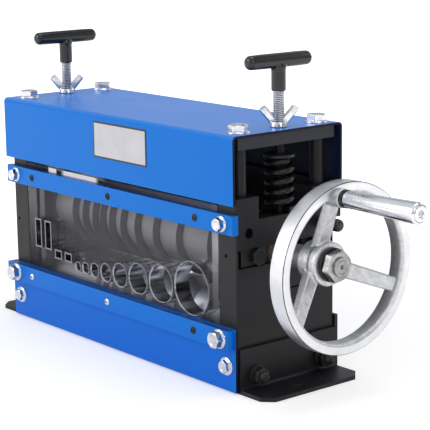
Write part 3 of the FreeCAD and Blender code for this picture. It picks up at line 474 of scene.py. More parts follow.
def makeCastMetal():
    look, tree, shader = newLook("castAluminium")
    skin = useGroup(tree, castSkin, Size=170.0)
    worn = useGroup(tree, edgeWear, Radius=0.0012, Amount=0.7, Size=300.0)["Mask"]
    metal = mixed(tree, skin["Tone"], castLook["dark"], castLook["light"])
    metal = mixed(tree, worn, metal, tone(0.9, 0.9, 0.91))
    gloss = fitted(tree, skin["Tone"], 0.0, 1.0, castLook["roughness"] + 0.16, castLook["roughness"])
    wire(tree, shader, Base_Color=metal, Roughness=gloss, Metallic=1.0,
         Normal=bump(tree, skin["Height"], 0.5, 0.0007))
    return look


def makeSheet(name, light, dark, roughness, spread=0.1, grain=(1600.0, 60.0), lumps=0.04):
    look, tree, shader = newLook(name)
    skin = useGroup(tree, fineGrain, Size=grain[0], Spread=grain[1])
    wire(tree, shader, Base_Color=mixed(tree, skin["Drift"], light, dark),
         Roughness=drifting(tree, skin["Drift"], roughness, spread),
         Normal=bump(tree, skin["Height"], lumps, 0.0001))
    return look


windowLook = {"tint": tone(0.13, 0.13, 0.145), "clear": 0.085, "smear": 0.04, "glance": 0.30,
              "roughness": 0.12, "gloss": 0.30, "edgeTone": tone(0.72, 0.72, 0.76), "edge": 0.42,
              "rightEdge": (0.1365, 0.1437), "leftEdge": (-0.1425, -0.1290), "leftShare": 0.6,
              "edgeFade": (0.055, 0.125), "top": 0.1506, "topShade": tone(0.025, 0.027, 0.042),
              "topPale": tone(0.14, 0.145, 0.21), "topSpan": (-0.03, 0.12), "topCover": 0.62,
              "topGloss": 0.06, "glare": ((-0.1055, -0.0943, 0.002), (-0.0800, -0.0305, 0.006)),
              "glareTone": tone(0.80, 0.79, 0.80), "glareCover": 0.85, "glareTo": 0.1546, "glow": 0.3}


def between(tree, value, low, high, soft=0.001):
    # 1 inside the span, fading to 0 just outside it
    return product(tree, fitted(tree, value, low - soft, low),
                   fitted(tree, value, high, high + soft, 1.0, 0.0))


def makeWindow():
    look, tree, shader = newLook("clearWindow")
    size = windowLook
    split = partsOf(tree, placeIn(tree))
    haze = useGroup(tree, fineGrain, Size=60.0, Spread=14.0)
    # painted highlight on the polished end edges, stronger towards the top
    ends = calc(tree, "ADD", between(tree, split["X"], *size["rightEdge"]),
                product(tree, between(tree, split["X"], *size["leftEdge"]), size["leftShare"]))
    ends = product(tree, ends, fitted(tree, split["Z"], *size["edgeFade"], 0.1, 1.0))
    # the strip above the bar carries painted shade, dark on the left and paler to the right, with two
    # patches of painted glare that glow
    top = calc(tree, "GREATER_THAN", split["Z"], size["top"])
    patches = calc(tree, "ADD", *[between(tree, split["X"], *spot) for spot in size["glare"]])
    patches = product(tree, patches, top, fitted(tree, split["Z"], size["glareTo"],
                                                 size["glareTo"] + 0.0003, 1.0, 0.0))
    topFilm = mixed(tree, fitted(tree, split["X"], *size["topSpan"]),
                    size["topShade"], size["topPale"])
    film = mixed(tree, product(tree, ends, 0.9), size["tint"], size["edgeTone"])
    film = mixed(tree, top, film, topFilm)
    film = mixed(tree, patches, film, size["glareTone"])
    cover = drifting(tree, haze["Drift"], size["clear"], size["smear"])
    glance = put(tree, "ShaderNodeFresnel", {"IOR": 1.45}).outputs[0]
    for share, amount in ((glance, "glance"), (ends, "edge"), (top, "topCover"),
                          (patches, "glareCover")):
        cover = calc(tree, "ADD", cover, product(tree, share, size[amount]))
    wire(tree, shader, Alpha=calc(tree, "MINIMUM", cover, 1.0), Base_Color=film, Emission_Color=film,
         Emission_Strength=product(tree, patches, size["glow"]), Roughness=size["roughness"],
         Specular_IOR_Level=fitted(tree, top, 0.0, 1.0, size["gloss"], size["topGloss"]))
    return look


spacerLook = {"bright": tone(0.95, 0.95, 0.98), "dull": tone(0.86, 0.86, 0.90), "roughness": 0.40,
              "shade": tone(0.16, 0.16, 0.18), "fade": (0.092, 0.122)}


def makeSpacer():
    # satin zinc on the spacers between the blades, with painted shade darkening their lower side
    look, tree, shader = newLook("satinZinc")
    size = spacerLook
    grain = useGroup(tree, fineGrain, Size=700.0, Spread=60.0)
    high = partsOf(tree, placeIn(tree))["Z"]
    plate = mixed(tree, grain["Drift"], size["bright"], size["dull"])
    plate = mixed(tree, fitted(tree, high, *size["fade"], 1.0, 0.0), plate, size["shade"])
    wire(tree, shader, Base_Color=plate,
         Roughness=drifting(tree, grain["Drift"], size["roughness"], 0.1),
         Normal=rounded(tree, 0.0003))
    return look


tubeLook = {"bright": tone(0.80, 0.80, 0.83), "dull": tone(0.55, 0.55, 0.60),
            "mouth": tone(0.20, 0.20, 0.22), "streak": tone(0.06, 0.06, 0.07), "fineness": 190.0,
            "drawn": (1.0, 0.06, 1.0), "roughness": 0.08}


def makeTube():
    # drawn tube with dark and bright streaks along it and a darker mouth facing the feeding side
    look, tree, shader = newLook("tubeSteel")
    size = tubeLook
    drawn = put(tree, "ShaderNodeVectorMath", {0: placeIn(tree), 1: size["drawn"]},
                operation="MULTIPLY").outputs[0]
    streaks = noise(tree, drawn, size["fineness"], 3.0, 0.6)
    metal = mixed(tree, fitted(tree, streaks, 0.42, 0.58), size["bright"], size["dull"])
    metal = mixed(tree, fitted(tree, streaks, 0.56, 0.66, 0.0, 0.85), metal, size["streak"])
    facing = facingIn(tree)["Y"]
    metal = mixed(tree, fitted(tree, facing, -0.6, -0.8), metal, size["mouth"])
    wire(tree, shader, Base_Color=metal,
         Roughness=fitted(tree, streaks, 0.4, 0.6, size["roughness"], size["roughness"] + 0.12),
         Normal=bump(tree, streaks, 0.25, 0.0004), Metallic=1.0)
    return look


oxideLook = {"bright": tone(0.012, 0.012, 0.013), "dull": tone(0.026, 0.025, 0.025),
             "worn": tone(0.20, 0.19, 0.19), "roughness": 0.34}
wornLook = {"bright": tone(0.52, 0.50, 0.50), "dull": tone(0.22, 0.21, 0.205), "roughness": 0.30}
endLook = {"bright": tone(0.46, 0.45, 0.44), "dull": tone(0.24, 0.235, 0.23), "roughness": 0.30}
bronzeLook = {"bright": tone(0.22, 0.15, 0.08), "dull": tone(0.12, 0.08, 0.045), "roughness": 0.36}
springLook = {"bright": tone(0.006, 0.006, 0.007), "dull": tone(0.010, 0.010, 0.011),
              "worn": tone(0.03, 0.03, 0.03), "roughness": 0.24}
# darker blade steel: partly the blades' own tone, partly painted shade for the dark gaps beside them
bladeLook = {"bright": tone(0.30, 0.30, 0.32), "dull": tone(0.20, 0.20, 0.22), "roughness": 0.26}
rimLook = {"bright": tone(0.76, 0.76, 0.78), "dull": tone(0.64, 0.64, 0.67), "roughness": 0.26}
rimEdgeLook = {"bright": tone(0.10, 0.10, 0.11), "dull": tone(0.05, 0.05, 0.06), "roughness": 0.40}
chromeLook = {"bright": tone(0.80, 0.80, 0.83), "dull": tone(0.66, 0.66, 0.70), "roughness": 0.13}
shaftCentre = (0, shaftLine["y"] * metre, shaftLine["z"] * metre)
rollerCentre = (0, shaftLine["y"] * metre, rollerHeight * metre)
handleCentre = (0, handleLine["y"] * metre, handleLine["z"] * metre)

blueEnamel = makeBlue()
blackEnamel = makeBlack("blackEnamel", blackLook)
barEnamel = makeBlack("barEnamel", barLook)
springCoat = makeBlack("springCoat", springLook, 1500.0, 0.05, 0.0)
blackOxideAndShade = makeBlack("blackOxideAndShade", oxideLook, 1500.0, 0.2, 0.8)
blackRubber = makeSheet("blackPlastic", tone(0.006, 0.006, 0.007), tone(0.010, 0.010, 0.011),
                        0.2, 0.07, (2200.0, 80.0), 0.05)
zincPlate = makeZinc("zincPlate", zincLook)
wornNut = makeZinc("wornNut", wornLook, 420.0, 0.0004)
shaftEnd = makeZinc("shaftEnd", endLook, 600.0, 0.0002)
bronze = makeZinc("bronze", bronzeLook)
drumSteel = makeTurnedSteel("drumSteel", shaftCentre, steelLook)
rollerSteel = makeTurnedSteel("rollerSteel", rollerCentre, steelLook)
bladeSteel = makeTurnedSteel("bladeSteel", shaftCentre, bladeLook, 3200.0, 0.35)
rimSteel = makeTurnedSteel("rimSteel", shaftCentre, rimLook, 1800.0, 0.12)
rimEdge = makeTurnedSteel("rimEdge", shaftCentre, rimEdgeLook, 1800.0, 0.12)
chromeSteel = makeTurnedSteel("chromeSteel", handleCentre, chromeLook, 900.0, 0.05)
tubeSteel = makeTube()
spacerSteel = makeSpacer()
threadSteel = makeThread()
castMetal = makeCastMetal()
clearWindow = makeWindow()

wearers = {
    blueEnamel: ("hood", "upper_front_bar", "lower_front_bar", "lower_front_panel"),
    blackEnamel: ("left_side_plate", "right_side_plate", "left_foot_angle", "right_foot_angle",
                  "left_bearing_block", "right_bearing_block", "upper_rear_bar",
                  "lower_rear_panel", "hood_posts"),
    barEnamel: ("left_cross_bar", "right_cross_bar"),
    springCoat: ("left_spring", "right_spring"),
    blackOxideAndShade: ("guide_pads", "guide_pad_bolts", "foot_bolts", "hub_washer", "blade_clamp_nut",
                 "left_spring_washer", "right_spring_washer"),
    wornNut: ("hub_nut",),
    blackRubber: ("left_t_grip", "right_t_grip", "rest_pin", "handle_base_ring"),
    zincPlate: ("hood_bolts", "upper_bar_bolts", "lower_bar_bolts", "panel_bolts",
                "window_screws", "window_brackets", "left_wing_nut", "right_wing_nut"),
    threadSteel: ("left_adjusting_screw", "right_adjusting_screw"),
    spacerSteel: ("spacer_drums",),
    drumSteel: ("blade_shaft", "hub_key"),
    rollerSteel: ("feed_roller",),
    bladeSteel: ("stripping_blades",),
    tubeSteel: ("ribbon_guides", "upright_guides") + tuple("feed_guide_%d" % k for k in range(1, 9)),
    rimSteel: ("handwheel",),
    chromeSteel: ("handle_sleeve", "handle_bolt"),
    bronze: ("roller_bushes", "shaft_bushes"),
    clearWindow: ("feed_window",),
}
for look, names in wearers.items():
    for name in names:
        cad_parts[name].material_slots[0].material = look
print("materials placed on", sum(len(names) for names in wearers.values()), "nodes")


# bolts, nuts and screws
def domeOver(across, low, high, dish, bore=0.0, bothEnds=False):
    # the turned body that trims a hexagon's corners
    wide = across / math.sqrt(3) + 1
    flat = across * 0.475
    fall = (wide - flat) * math.tan(math.radians(30))
    profile = [(bore, low, 0), (flat, low, 0), (wide, low + fall, 0)] if bothEnds else [
        (bore, low, 0), (wide, low, 0)]
    profile += [(wide, high - fall, 0), (flat, high, 0.25)]
    if dish:
        profile += [(flat * 0.74, high, 0.2), (flat * 0.62, high - dish, 0.2)]
    profile.append((bore, high - dish, 0))
    return turned(profile, steps=72, segments=3)


def hexHead(across, low, high, dish=0.0, bore=0.0, bothEnds=False):
    return combined(hexPrism(across, low - 0.01, high + 0.01),
                    domeOver(across, low, high, dish, bore, bothEnds), "INTERSECT")


def flangeBolt(size, places):
    # flange, shank and hexagon head, copied to each place
    made = bmesh.new()
    shank, across, head, flange, rise, grip = (size[key] for key in
                                               ("shank", "across", "head", "flange", "rise", "grip"))
    for place in places:
        addTo(made, turned([(0, -grip, 0), (shank, -grip, 0.4), (shank, 0, 0), (flange, 0, 0.25),
                            (flange * 0.97, rise * 0.45, 0.3), (across * 0.54, rise, 0.4),
                            (across * 0.4, rise, 0), (across * 0.4, rise + 0.6, 0),
                            (0, rise + 0.6, 0)], steps=56), place)
        addTo(made, hexHead(across, rise * 0.5, rise / 2 + head, size["dish"]), place)
    return made


def threadedRod(core, crest, pitch, low, high, stepsPerTurn=28):
    # one thread's profile carried round and up, then cut off square at both ends
    shape = bmesh.new()
    start = low - 2 * pitch
    turns = int((high - low) / pitch) + 4
    ladder = [(core, 0.0), (core, 0.14), (crest, 0.44), (crest, 0.56), (core, 0.86), (core, 1.0)]
    steps = [shape.verts.new((radius, 0, start + part * pitch)) for radius, part in ladder]
    for lower, upper in zip(steps, steps[1:]):
        shape.edges.new((lower, upper))
    bmesh.ops.spin(shape, geom=shape.verts[:] + shape.edges[:], cent=(0, 0, 0), axis=(0, 0, 1),
                   dvec=(0, 0, pitch / stepsPerTurn), angle=math.tau * turns,
                   steps=stepsPerTurn * turns)
    bmesh.ops.remove_doubles(shape, verts=shape.verts[:], dist=tiny * 10)
    for height, outward in ((low, -1), (high, 1)):
        cut = bmesh.ops.bisect_plane(shape, geom=shape.verts[:] + shape.edges[:] + shape.faces[:],
                                     plane_co=(0, 0, height), plane_no=(0, 0, outward),
                                     clear_outer=True)
        rim = [item for item in cut["geom_cut"] if isinstance(item, bmesh.types.BMEdge)]
        bmesh.ops.contextual_create(shape, geom=rim)
    bmesh.ops.recalc_face_normals(shape, faces=shape.faces[:])
    return shape


boltSizes = {
    "hood": {"shank": 5.0, "across": 15.0, "head": 5.9, "flange": 10.0, "rise": 1.8, "grip": 11.0,
             "dish": 0.5},
    "lowerBar": {"shank": 4.0, "across": 13.0, "head": 6.5, "flange": 8.6, "rise": 1.6,
                 "grip": 20.0, "dish": 0.4},
    "upperBar": {"shank": 3.0, "across": 10.0, "head": 5.0, "flange": 7.0, "rise": 1.4,
                 "grip": 18.0, "dish": 0.4},
    "panel": {"shank": 3.0, "across": 10.0, "head": 4.0, "flange": 8.0, "rise": 1.6, "grip": 16.0,
              "dish": 0.3},
}
boltPlaces = {"postX": 155.75, "postFront": -31.3, "postRear": 54.7, "barX": 155, "upper": 142.4,
              "lower": 46.4, "upperFront": -50.3, "upperRear": 69.7, "lowerFront": -53.8,
              "panelX": 157, "panel": 22.3, "panelFront": -47.8, "panelRear": 67.2}


def placesOn(outward, face, height, x, turns):
    # one place at the right end and one at the left, each with its own turn
    return [standing(side * x, face, height, outward, turn) for side, turn in zip((1, -1), turns)]


def placedBolts(name, size, node, *rows):
    places = [place for row in rows for place in row]
    finished(name, flangeBolt(boltSizes[size], places), [zincPlate], "frame", [node])


at = boltPlaces
upward = (0, 0, 1)
placedBolts("hoodBolts", "hood", "hood_bolts",
            placesOn(upward, at["postFront"], hoodTop, at["postX"], (20, 8)),
            placesOn(upward, at["postRear"], hoodTop, at["postX"], (38, 50)))
placedBolts("upperBarBolts", "upperBar", "upper_bar_bolts",
            placesOn(frontFace, at["upperFront"], at["upper"], at["barX"], (12, 40)),
            placesOn(rearFace, at["upperRear"], at["upper"], at["barX"], (25, 5)))
placedBolts("lowerBarBolts", "lowerBar", "lower_bar_bolts",
            placesOn(frontFace, at["lowerFront"], at["lower"], at["barX"], (35, 10)))
placedBolts("panelBolts", "panel", "panel_bolts",
            placesOn(frontFace, at["panelFront"], at["panel"], at["panelX"], (5, 30)),
            placesOn(rearFace, at["panelRear"], at["panel"], at["panelX"], (18, 44)))
print("bolts made")


# window screws and foot studs
windowScrewSize = {"head": 3.2, "rise": 1.5, "shank": 2.45, "socket": 2.6, "deep": 0.9,
                   "nutFace": -35.8, "nutAcross": 8.0, "nut": 3.5, "show": 1.0,
                   "left": -127, "middle": -3, "right": 121, "turn": 15}
studSize = {"face": 171.0, "inner": 153.5, "end": 183.0, "core": 3.4, "crest": 3.95, "pitch": 1.25,
            "washer": 8.0, "washerThick": 1.6, "hole": 4.1, "across": 13.0, "nut": 6.5, "bore": 4.0,
            "z": 14.0, "y": (-26.8, 46.2), "turn": 20}


def windowScrew(face):
    # a domed head with a hexagon socket, its shank and the nut behind the window, outward along +Z
    size = windowScrewSize
    shank, head, rise, nut = (size[key] for key in ("shank", "head", "rise", "nut"))
    back = size["nutFace"] - face
    end = back + nut + size["show"]
    blank = turned([(0, -end, 0), (shank, -end, 0.3), (shank, 0, 0), (head, 0, 0.1),
                    (head, rise * 0.35, 0.3), (head * 0.62, rise, 0.9), (0, rise, 0)], steps=40)
    screw = combined(blank, hexPrism(size["socket"], rise - size["deep"], rise + 1, 0.1),
                     "DIFFERENCE")
    addTo(screw, hexHead(size["nutAcross"], -back - nut, -back, bore=shank + 0.02))
    return screw


def windowScrews():
    # three in each bar; those of the upper bar take the dark finish as painted shade, and the last of
    # the lower one is dark too
    size = windowScrewSize
    made = bmesh.new()
    for height, face in ((boltPlaces["upper"], boltPlaces["upperFront"]),
                         (boltPlaces["lower"], boltPlaces["lowerFront"])):
        for x in (size["left"], size["middle"], size["right"]):
            dark = height == boltPlaces["upper"] or x == size["right"]
            addTo(made, windowScrew(face), standing(x, face, height, frontFace, size["turn"]),
                  1 if dark else 0)
    return made


def footStuds():
    size = studSize
    made = bmesh.new()
    nutLow = size["face"] + size["washerThick"]
    for sign in (-1, 1):
        for y in size["y"]:
            place = standing(0, y, size["z"], (sign, 0, 0), size["turn"] + y)
            for part in (
                    threadedRod(size["core"], size["crest"], size["pitch"], nutLow, size["end"]),
                    rod(size["crest"], size["inner"], nutLow, 0.4, 0, steps=40),
                    rod(size["washer"], size["face"], nutLow, 0.3, 0.3, size["hole"]),
                    hexHead(size["across"], nutLow, nutLow + size["nut"], bore=size["bore"],
                            bothEnds=True)):
                addTo(made, part, place, 0)
    return made


finished("windowScrews", windowScrews(), [zincPlate, blackOxideAndShade], "frame",
         ["window_screws"])
finished("footStuds", footStuds(), [blackOxideAndShade], "frame", ["foot_bolts"])
print("window screws and foot studs made")


# adjusting screws, grips and wing nuts
screwSize = {"core": 4.25, "crest": 4.95, "pitch": 1.5, "low": 131.5, "high": 261.5,
             "foot": 6.0, "footAt": (124.4, 126.6), "neck": 4.0, "neckTop": 132.0}
gripSize = {"stem": 6.1, "stemLow": 245.3, "axis": 270.3, "bar": 6.45, "barEnd": 5.9, "half": 34.2,
            "round": 4.2, "voxel": 0.55}
wingSize = {"foot": 7.7, "top": 6.8, "hub": 4.9, "thick": 3.9, "edge": 1.1, "voxel": 0.45,
            "turn": -39.0,
            "outline": ((0, 0.6), (5.4, 0.6), (16.9, 14.9), (11.4, 18.7), (0, 4.2))}


def adjustingScrew():
    size = screwSize
    shape = threadedRod(size["core"], size["crest"], size["pitch"], size["low"], size["high"])
    foot, neck, footLow, footHigh, top = size["foot"], size["neck"], *size["footAt"], size["neckTop"]
    addTo(shape, turned([(0, footLow, 0), (foot, footLow, 0.5), (foot, footHigh, 0.3),
                         (neck, footHigh, 0.3), (neck, top, 0), (0, top, 0)]))
    return shape


def gripShape():
    size = gripSize
    half, end, stem, low = size["half"], size["barEnd"], size["stem"], size["stemLow"] - size["axis"]
    shape = turned([(0, -half, 0), (end, -half, size["round"]), (size["bar"], 0, 20),
                    (end, half, size["round"]), (0, half, 0)], steps=48, segments=6)
    shape.transform(Matrix.Rotation(math.radians(90), 4, "X"))
    addTo(shape, turned([(0, low, 0), (stem, low, 0.4), (stem, -8.0, 0), (stem + 1.2, -3.5, 3),
                         (3.0, 0, 0), (0, 0, 0)], steps=48))
    return blended(shape, size["voxel"], 6)


def wingShape():
    size = wingSize
    shape = turned([(0, 0, 0), (size["foot"], 0, 0.5), (size["top"], size["hub"], 1.2),
                    (0, size["hub"], 0)], steps=48)
    for side in (-1, 1):
        wing = bmesh.new()
        corners = [wing.verts.new((-size["thick"] / 2, side * y, z)) for y, z in size["outline"]]
        flat = wing.faces.new(corners)
        pulled = bmesh.ops.extrude_face_region(wing, geom=[flat])
        bmesh.ops.translate(wing, vec=(size["thick"], 0, 0),
                            verts=[v for v in pulled["geom"] if isinstance(v, bmesh.types.BMVert)])
        bmesh.ops.recalc_face_normals(wing, faces=wing.faces[:])
        bevelled(wing, wing.edges[:], size["edge"])
        addTo(shape, wing)
    return blended(shape, size["voxel"], 5)


for side, sign in (("left", -1), ("right", 1)):
    x, y = sign * screwLine["x"], screwLine["y"]
    finished(side + "Screw", adjustingScrew(), [threadSteel], side + "_screw",
             [side + "_adjusting_screw"], place=standing(x, y, 0))
    finished(side + "Grip", gripShape(), [blackRubber], side + "_screw",
             [side + "_t_grip"], place=standing(x, y, gripSize["axis"]))
    finished(side + "WingNut", wingShape(), [zincPlate], side + "_wing",
             [side + "_wing_nut"], 50, standing(x, y, hoodTop, turn=wingSize["turn"]))
print("screws, grips and wing nuts made")


# handwheel
wheelSize = {"rimBack": 226.3, "rimFront": 241.7, "rimInner": 61.1, "rimOuter": 70.5,
             "outerRound": 0.8, "innerRound": 3.6,
             "hubBack": 198.0, "hub": 17.0, "collar": 18.4, "collarBack": 213.0, "hubFront": 221.0,
             "spokeRootX": 210.2, "spokeTipX": 234.7, "spokeRoot": 15.0, "spokeTip": 64.8,
             "spokeWide": 14.0, "spokeThick": 10.0, "spokeRound": 1.6, "taper": 0.86,
             "handleAngle": 97.7, "boss": 7.8, "bossLow": 229.7, "bossHigh": 244.8, "crank": 59.2,
             "voxel": 0.8}
alongX = Matrix.Rotation(math.radians(90), 4, "Y")
onShaft = Matrix.Translation((0, shaftLine["y"], shaftLine["z"]))


def spokeShape(size):
    # a tapering bar that leans forward as it goes out, drawn along +Z
    shape = bmesh.new()
    bmesh.ops.create_cube(shape, size=1.0)
    bmesh.ops.scale(shape, verts=shape.verts[:],
                    vec=(size["spokeThick"], size["spokeWide"], size["spokeTip"] - size["spokeRoot"]))
    tip = [v for v in shape.verts if v.co.z > 0]
    bmesh.ops.scale(shape, verts=tip, vec=(size["taper"], size["taper"], 1))
    bmesh.ops.translate(shape, verts=tip, vec=(size["spokeTipX"] - size["spokeRootX"], 0, 0))
    bevelled(shape, [edge for edge in shape.edges
                     if abs(edge.verts[0].co.z - edge.verts[1].co.z) > 1], size["spokeRound"])
    bmesh.ops.translate(shape, verts=shape.verts[:],
                        vec=(size["spokeRootX"], 0, (size["spokeTip"] + size["spokeRoot"]) / 2))
    return shape


def wheelRim():
    # a flat ring: the outside and both sides are turned, the inside is left as cast
    size = wheelSize
    inner, outer = (size["rimInner"], size["innerRound"]), (size["rimOuter"], size["outerRound"])
    back, front = size["rimBack"], size["rimFront"]
    rim = turned([(radius, height, edge) for (radius, edge), height in
                  ((inner, back), (outer, back), (outer, front), (inner, front))],
                 steps=200, segments=6)
    for face in rim.faces:
        middle = face.calc_center_median()
        outward = face.normal.dot(Vector((middle.x, middle.y, 0)).normalized())
        # the rounded front edge takes the dark rimEdge steel: a darker finish with painted shade for a
        # groove that is not modelled
        onFrontEdge = outward > 0.2 and face.normal.z > 0.2
        face.material_index = 0 if outward < -0.35 else 2 if onFrontEdge else 1
    rim.transform(alongX)
    return rim


def handwheel():
    size = wheelSize
    hub, collar, back, front = (size[key] for key in ("hub", "collar", "collarBack", "hubFront"))
    cast = turned([(0, size["hubBack"], 0), (hub, size["hubBack"], 1.5), (hub, back - 1.5, 0.8),
                   (collar, back, 0.8), (collar, front, 1.5), (0, front, 0)], steps=72)
    cast.transform(alongX)
    for k in range(3):
        addTo(cast, spokeShape(size),
              Matrix.Rotation(math.radians(size["handleAngle"] - 90 + 120 * k), 4, "X"))
    boss = rod(size["boss"], size["bossLow"], size["bossHigh"], 1.5, 0.6)
    boss.transform(alongX)
    angle = math.radians(size["handleAngle"])
    addTo(cast, boss, Matrix.Translation((0, size["crank"] * math.cos(angle),
                                          size["crank"] * math.sin(angle))))
    wheel = bmesh.new()
    addTo(wheel, blended(cast, size["voxel"], 4), onShaft, 0)
    addTo(wheel, wheelRim(), onShaft)
    return wheel


finished("spokedWheel", handwheel(), [castMetal, rimSteel, rimEdge], "rotor",
         ["handwheel"], sharp=60)
print("handwheel made")


# hub nut, washer and shaft
nutSize = {"across": 24.0, "thick": 8.0, "bore": 8.05, "back": 224.0, "turn": 12}
shaftSize = {"left": -167.5, "journal": 10, "neck": 144, "body": 12, "collar": 17,
             "collarAt": (133, 136.5), "seatFrom": 198, "seat": 9, "thread": 8, "end": 234.4,
             "ring": 6.2, "ringIn": 5.0, "ringDeep": 0.5, "centre": 2.0, "point": 0.6, "centreDeep": 2.4}


def hubNut():
    size = nutSize
    nut = hexHead(size["across"], 0, size["thick"], bore=size["bore"], bothEnds=True)
    nut.transform(alongX)
    nut.transform(Matrix.Translation((size["back"], shaftLine["y"], shaftLine["z"]))
                  @ Matrix.Rotation(math.radians(size["turn"]), 4, "X"))
    return nut


finished("hubNut", hubNut(), [wornNut], "rotor", ["hub_nut"])


def bladeShaft():
    # journals, body with its collar, wheel seat, threaded end with a ring and a centre hole
    size = shaftSize
    journal, body, collar, end, left, neck, seat, thread, ring, ringIn = (size[key] for key in (
        "journal", "body", "collar", "end", "left", "neck", "seat", "thread", "ring", "ringIn"))
    ringFloor, point, front = end - size["ringDeep"], end - size["centreDeep"], wheelSize["hubFront"]
    (collarFrom, collarTo), seatFrom = size["collarAt"], size["seatFrom"]
    shape = turned([(0, left, 0), (journal, left, 0.8), (journal, -neck, 0), (body, -neck, 0.4),
                    (body, collarFrom, 0), (collar, collarFrom, 0.4), (collar, collarTo, 0.4),
                    (body, collarTo, 0), (body, neck, 0.4), (journal, neck, 0),
                    (journal, seatFrom, 0), (seat, seatFrom, 0), (seat, front, 0),
                    (thread, front, 0), (thread, end, 0.7), (ring, end, 0.15),
                    (ring - 0.3, ringFloor, 0.15), (ringIn + 0.3, ringFloor, 0.15),
                    (ringIn, end, 0.15), (size["centre"], end, 0.1), (size["point"], point, 0),
                    (0, point, 0)], steps=72)
    for face in shape.faces:
        face.material_index = 1 if face.calc_center_median().z > front else 0
    shape.transform(alongX)
    return shape


finished("bladeShaft", bladeShaft(), [drumSteel, shaftEnd], "rotor",
         ["blade_shaft"], place=onShaft)
print("shaft and hub nut made")

# crank handle
handleSize = {"low": 248.6, "high": 325.9, "base": 6.9, "end": 8.7,
              "bore": 4.04, "mouth": 6.9, "seat": 321.3, "boltLow": 229.7, "head": 6.6,
              "headLow": 321.5, "headHigh": 326.5, "socket": 6.0, "socketDeep": 3.0}
onCrank = Matrix.Translation((0, handleLine["y"], handleLine["z"]))


def handleSleeve():
    size = handleSize
    bore, low, high, end, mouth, seat = (size[key] for key in
                                         ("bore", "low", "high", "end", "mouth", "seat"))
    shape = turned([(bore, low, 0), (size["base"], low, 0.6), (end, high - 1.6, 0.8),
                    (end - 1.3, high, 0.5), (mouth, high, 0.2), (mouth, seat, 0), (bore, seat, 0)],
                   steps=72)
    shape.transform(alongX)
    return shape


def handleBolt():
    size = handleSize
    start, head, low, high = (size[key] for key in ("boltLow", "head", "headLow", "headHigh"))
    solidHead = turned([(0, start, 0), (4, start, 0.3), (4, low, 0), (head, low, 0.2),
                        (head, high, 0.8), (4.2, high, 0.2), (3.8, high - 0.4, 0.1),
                        (0, high - 0.4, 0)], steps=72)
    shape = combined(solidHead, hexPrism(size["socket"], high - size["socketDeep"], high + 1, 0.15),
                     "DIFFERENCE")
    shape.transform(alongX)
    return shape


finished("crankSleeve", handleSleeve(), [chromeSteel], "crank_handle",
         ["handle_sleeve"], place=onCrank)
finished("crankBolt", handleBolt(), [chromeSteel], "rotor", ["handle_bolt"],
         place=onCrank)
print("crank handle made")

# blank plate on the hood
plateSize = {"low": (-21.7, 176.2), "high": (56.5, 208.5), "front": -50.3, "thick": 0.35,
             "border": 1.5, "corner": 0.8, "proud": 0.06}


def sheet(low, high, back, thick, corner):
    # a thin upright sheet with rounded corners, its back on the plane y = back
    shape = bmesh.new()
    bmesh.ops.create_cube(shape, size=1.0)
    bmesh.ops.scale(shape, verts=shape.verts[:], vec=(high[0] - low[0], thick, high[1] - low[1]))
    bmesh.ops.translate(shape, verts=shape.verts[:],
                        vec=((low[0] + high[0]) / 2, back - thick / 2, (low[1] + high[1]) / 2))
    bevelled(shape, [edge for edge in shape.edges
                     if abs(edge.verts[0].co.y - edge.verts[1].co.y) > tiny], corner, 4)
    return shape


def blankPlate():
    # a dark backing that shows as a border round the pale sheet
    size = plateSize
    rim = size["border"]
    made = bmesh.new()
    addTo(made, sheet(size["low"], size["high"], size["front"], size["thick"], size["corner"]),
          finish=1)
    addTo(made, sheet([value + rim for value in size["low"]], [value - rim for value in size["high"]],
                      size["front"] - size["thick"], size["proud"], 0.2), finish=0)
    return made


paleSheet = makeSheet("paleSheet", tone(0.74, 0.74, 0.78), tone(0.66, 0.66, 0.70), 0.35)
darkSheet = makeSheet("darkSheet", tone(0.014, 0.014, 0.018), tone(0.022, 0.022, 0.026), 0.4)
finished("blankPlate", blankPlate(), [paleSheet, darkSheet], "frame")
print("blank plate made")

# floor, light and camera
studio = {"floor": 6.0, "pale": 0.86, "lift": 0.40, "farLift": 0.95, "fadeFrom": 0.25, "fadeTo": 1.0,
          "ambient": 0.42,
          "lamps": (("key", (-1.2, -2.2, 1.3), 1.6, 26.0), ("side", (2.3, -0.5, 1.2), 0.9, 8.0),
                    ("top", (0.1, 0.3, 2.3), 1.4, 12.0), ("back", (0.6, 2.2, 1.2), 1.2, 7.0)),
          "aim": (0.0, 0.0, 0.12),
          "front": 1.0, "behind": 0.72, "horizon": 0.66, "strip": 0.25, "facing": 0.12}


def makeFloor():
    shape = bmesh.new()
    bmesh.ops.create_grid(shape, x_segments=1, y_segments=1, size=studio["floor"])
    floor = solid(shape, "floor")
    look = bpy.data.materials.new("paleFloor")
    look.use_nodes = True
    tree = look.node_tree
    tree.nodes.clear()
    ray = put(tree, "ShaderNodeLightPath").outputs
    seen = calc(tree, "MAXIMUM", ray["Is Camera Ray"],
                calc(tree, "MAXIMUM", ray["Is Glossy Ray"], ray["Is Transmission Ray"]))
    # the floor fades into the white background away from the object
    away = lengthOf(tree, placeIn(tree))
    share = fitted(tree, away, studio["fadeFrom"], studio["fadeTo"], studio["lift"], studio["farLift"])
    lift = put(tree, "ShaderNodeEmission", {"Color": tone(1, 1, 1),
                                            "Strength": calc(tree, "MULTIPLY", seen, share)})
    matt = put(tree, "ShaderNodeBsdfDiffuse", {"Color": tone(*[studio["pale"]] * 3)})
    both = put(tree, "ShaderNodeAddShader", {0: lift.outputs[0], 1: matt.outputs[0]})
    put(tree, "ShaderNodeOutputMaterial", {"Surface": both.outputs[0]})
    floor.data.materials.append(look)


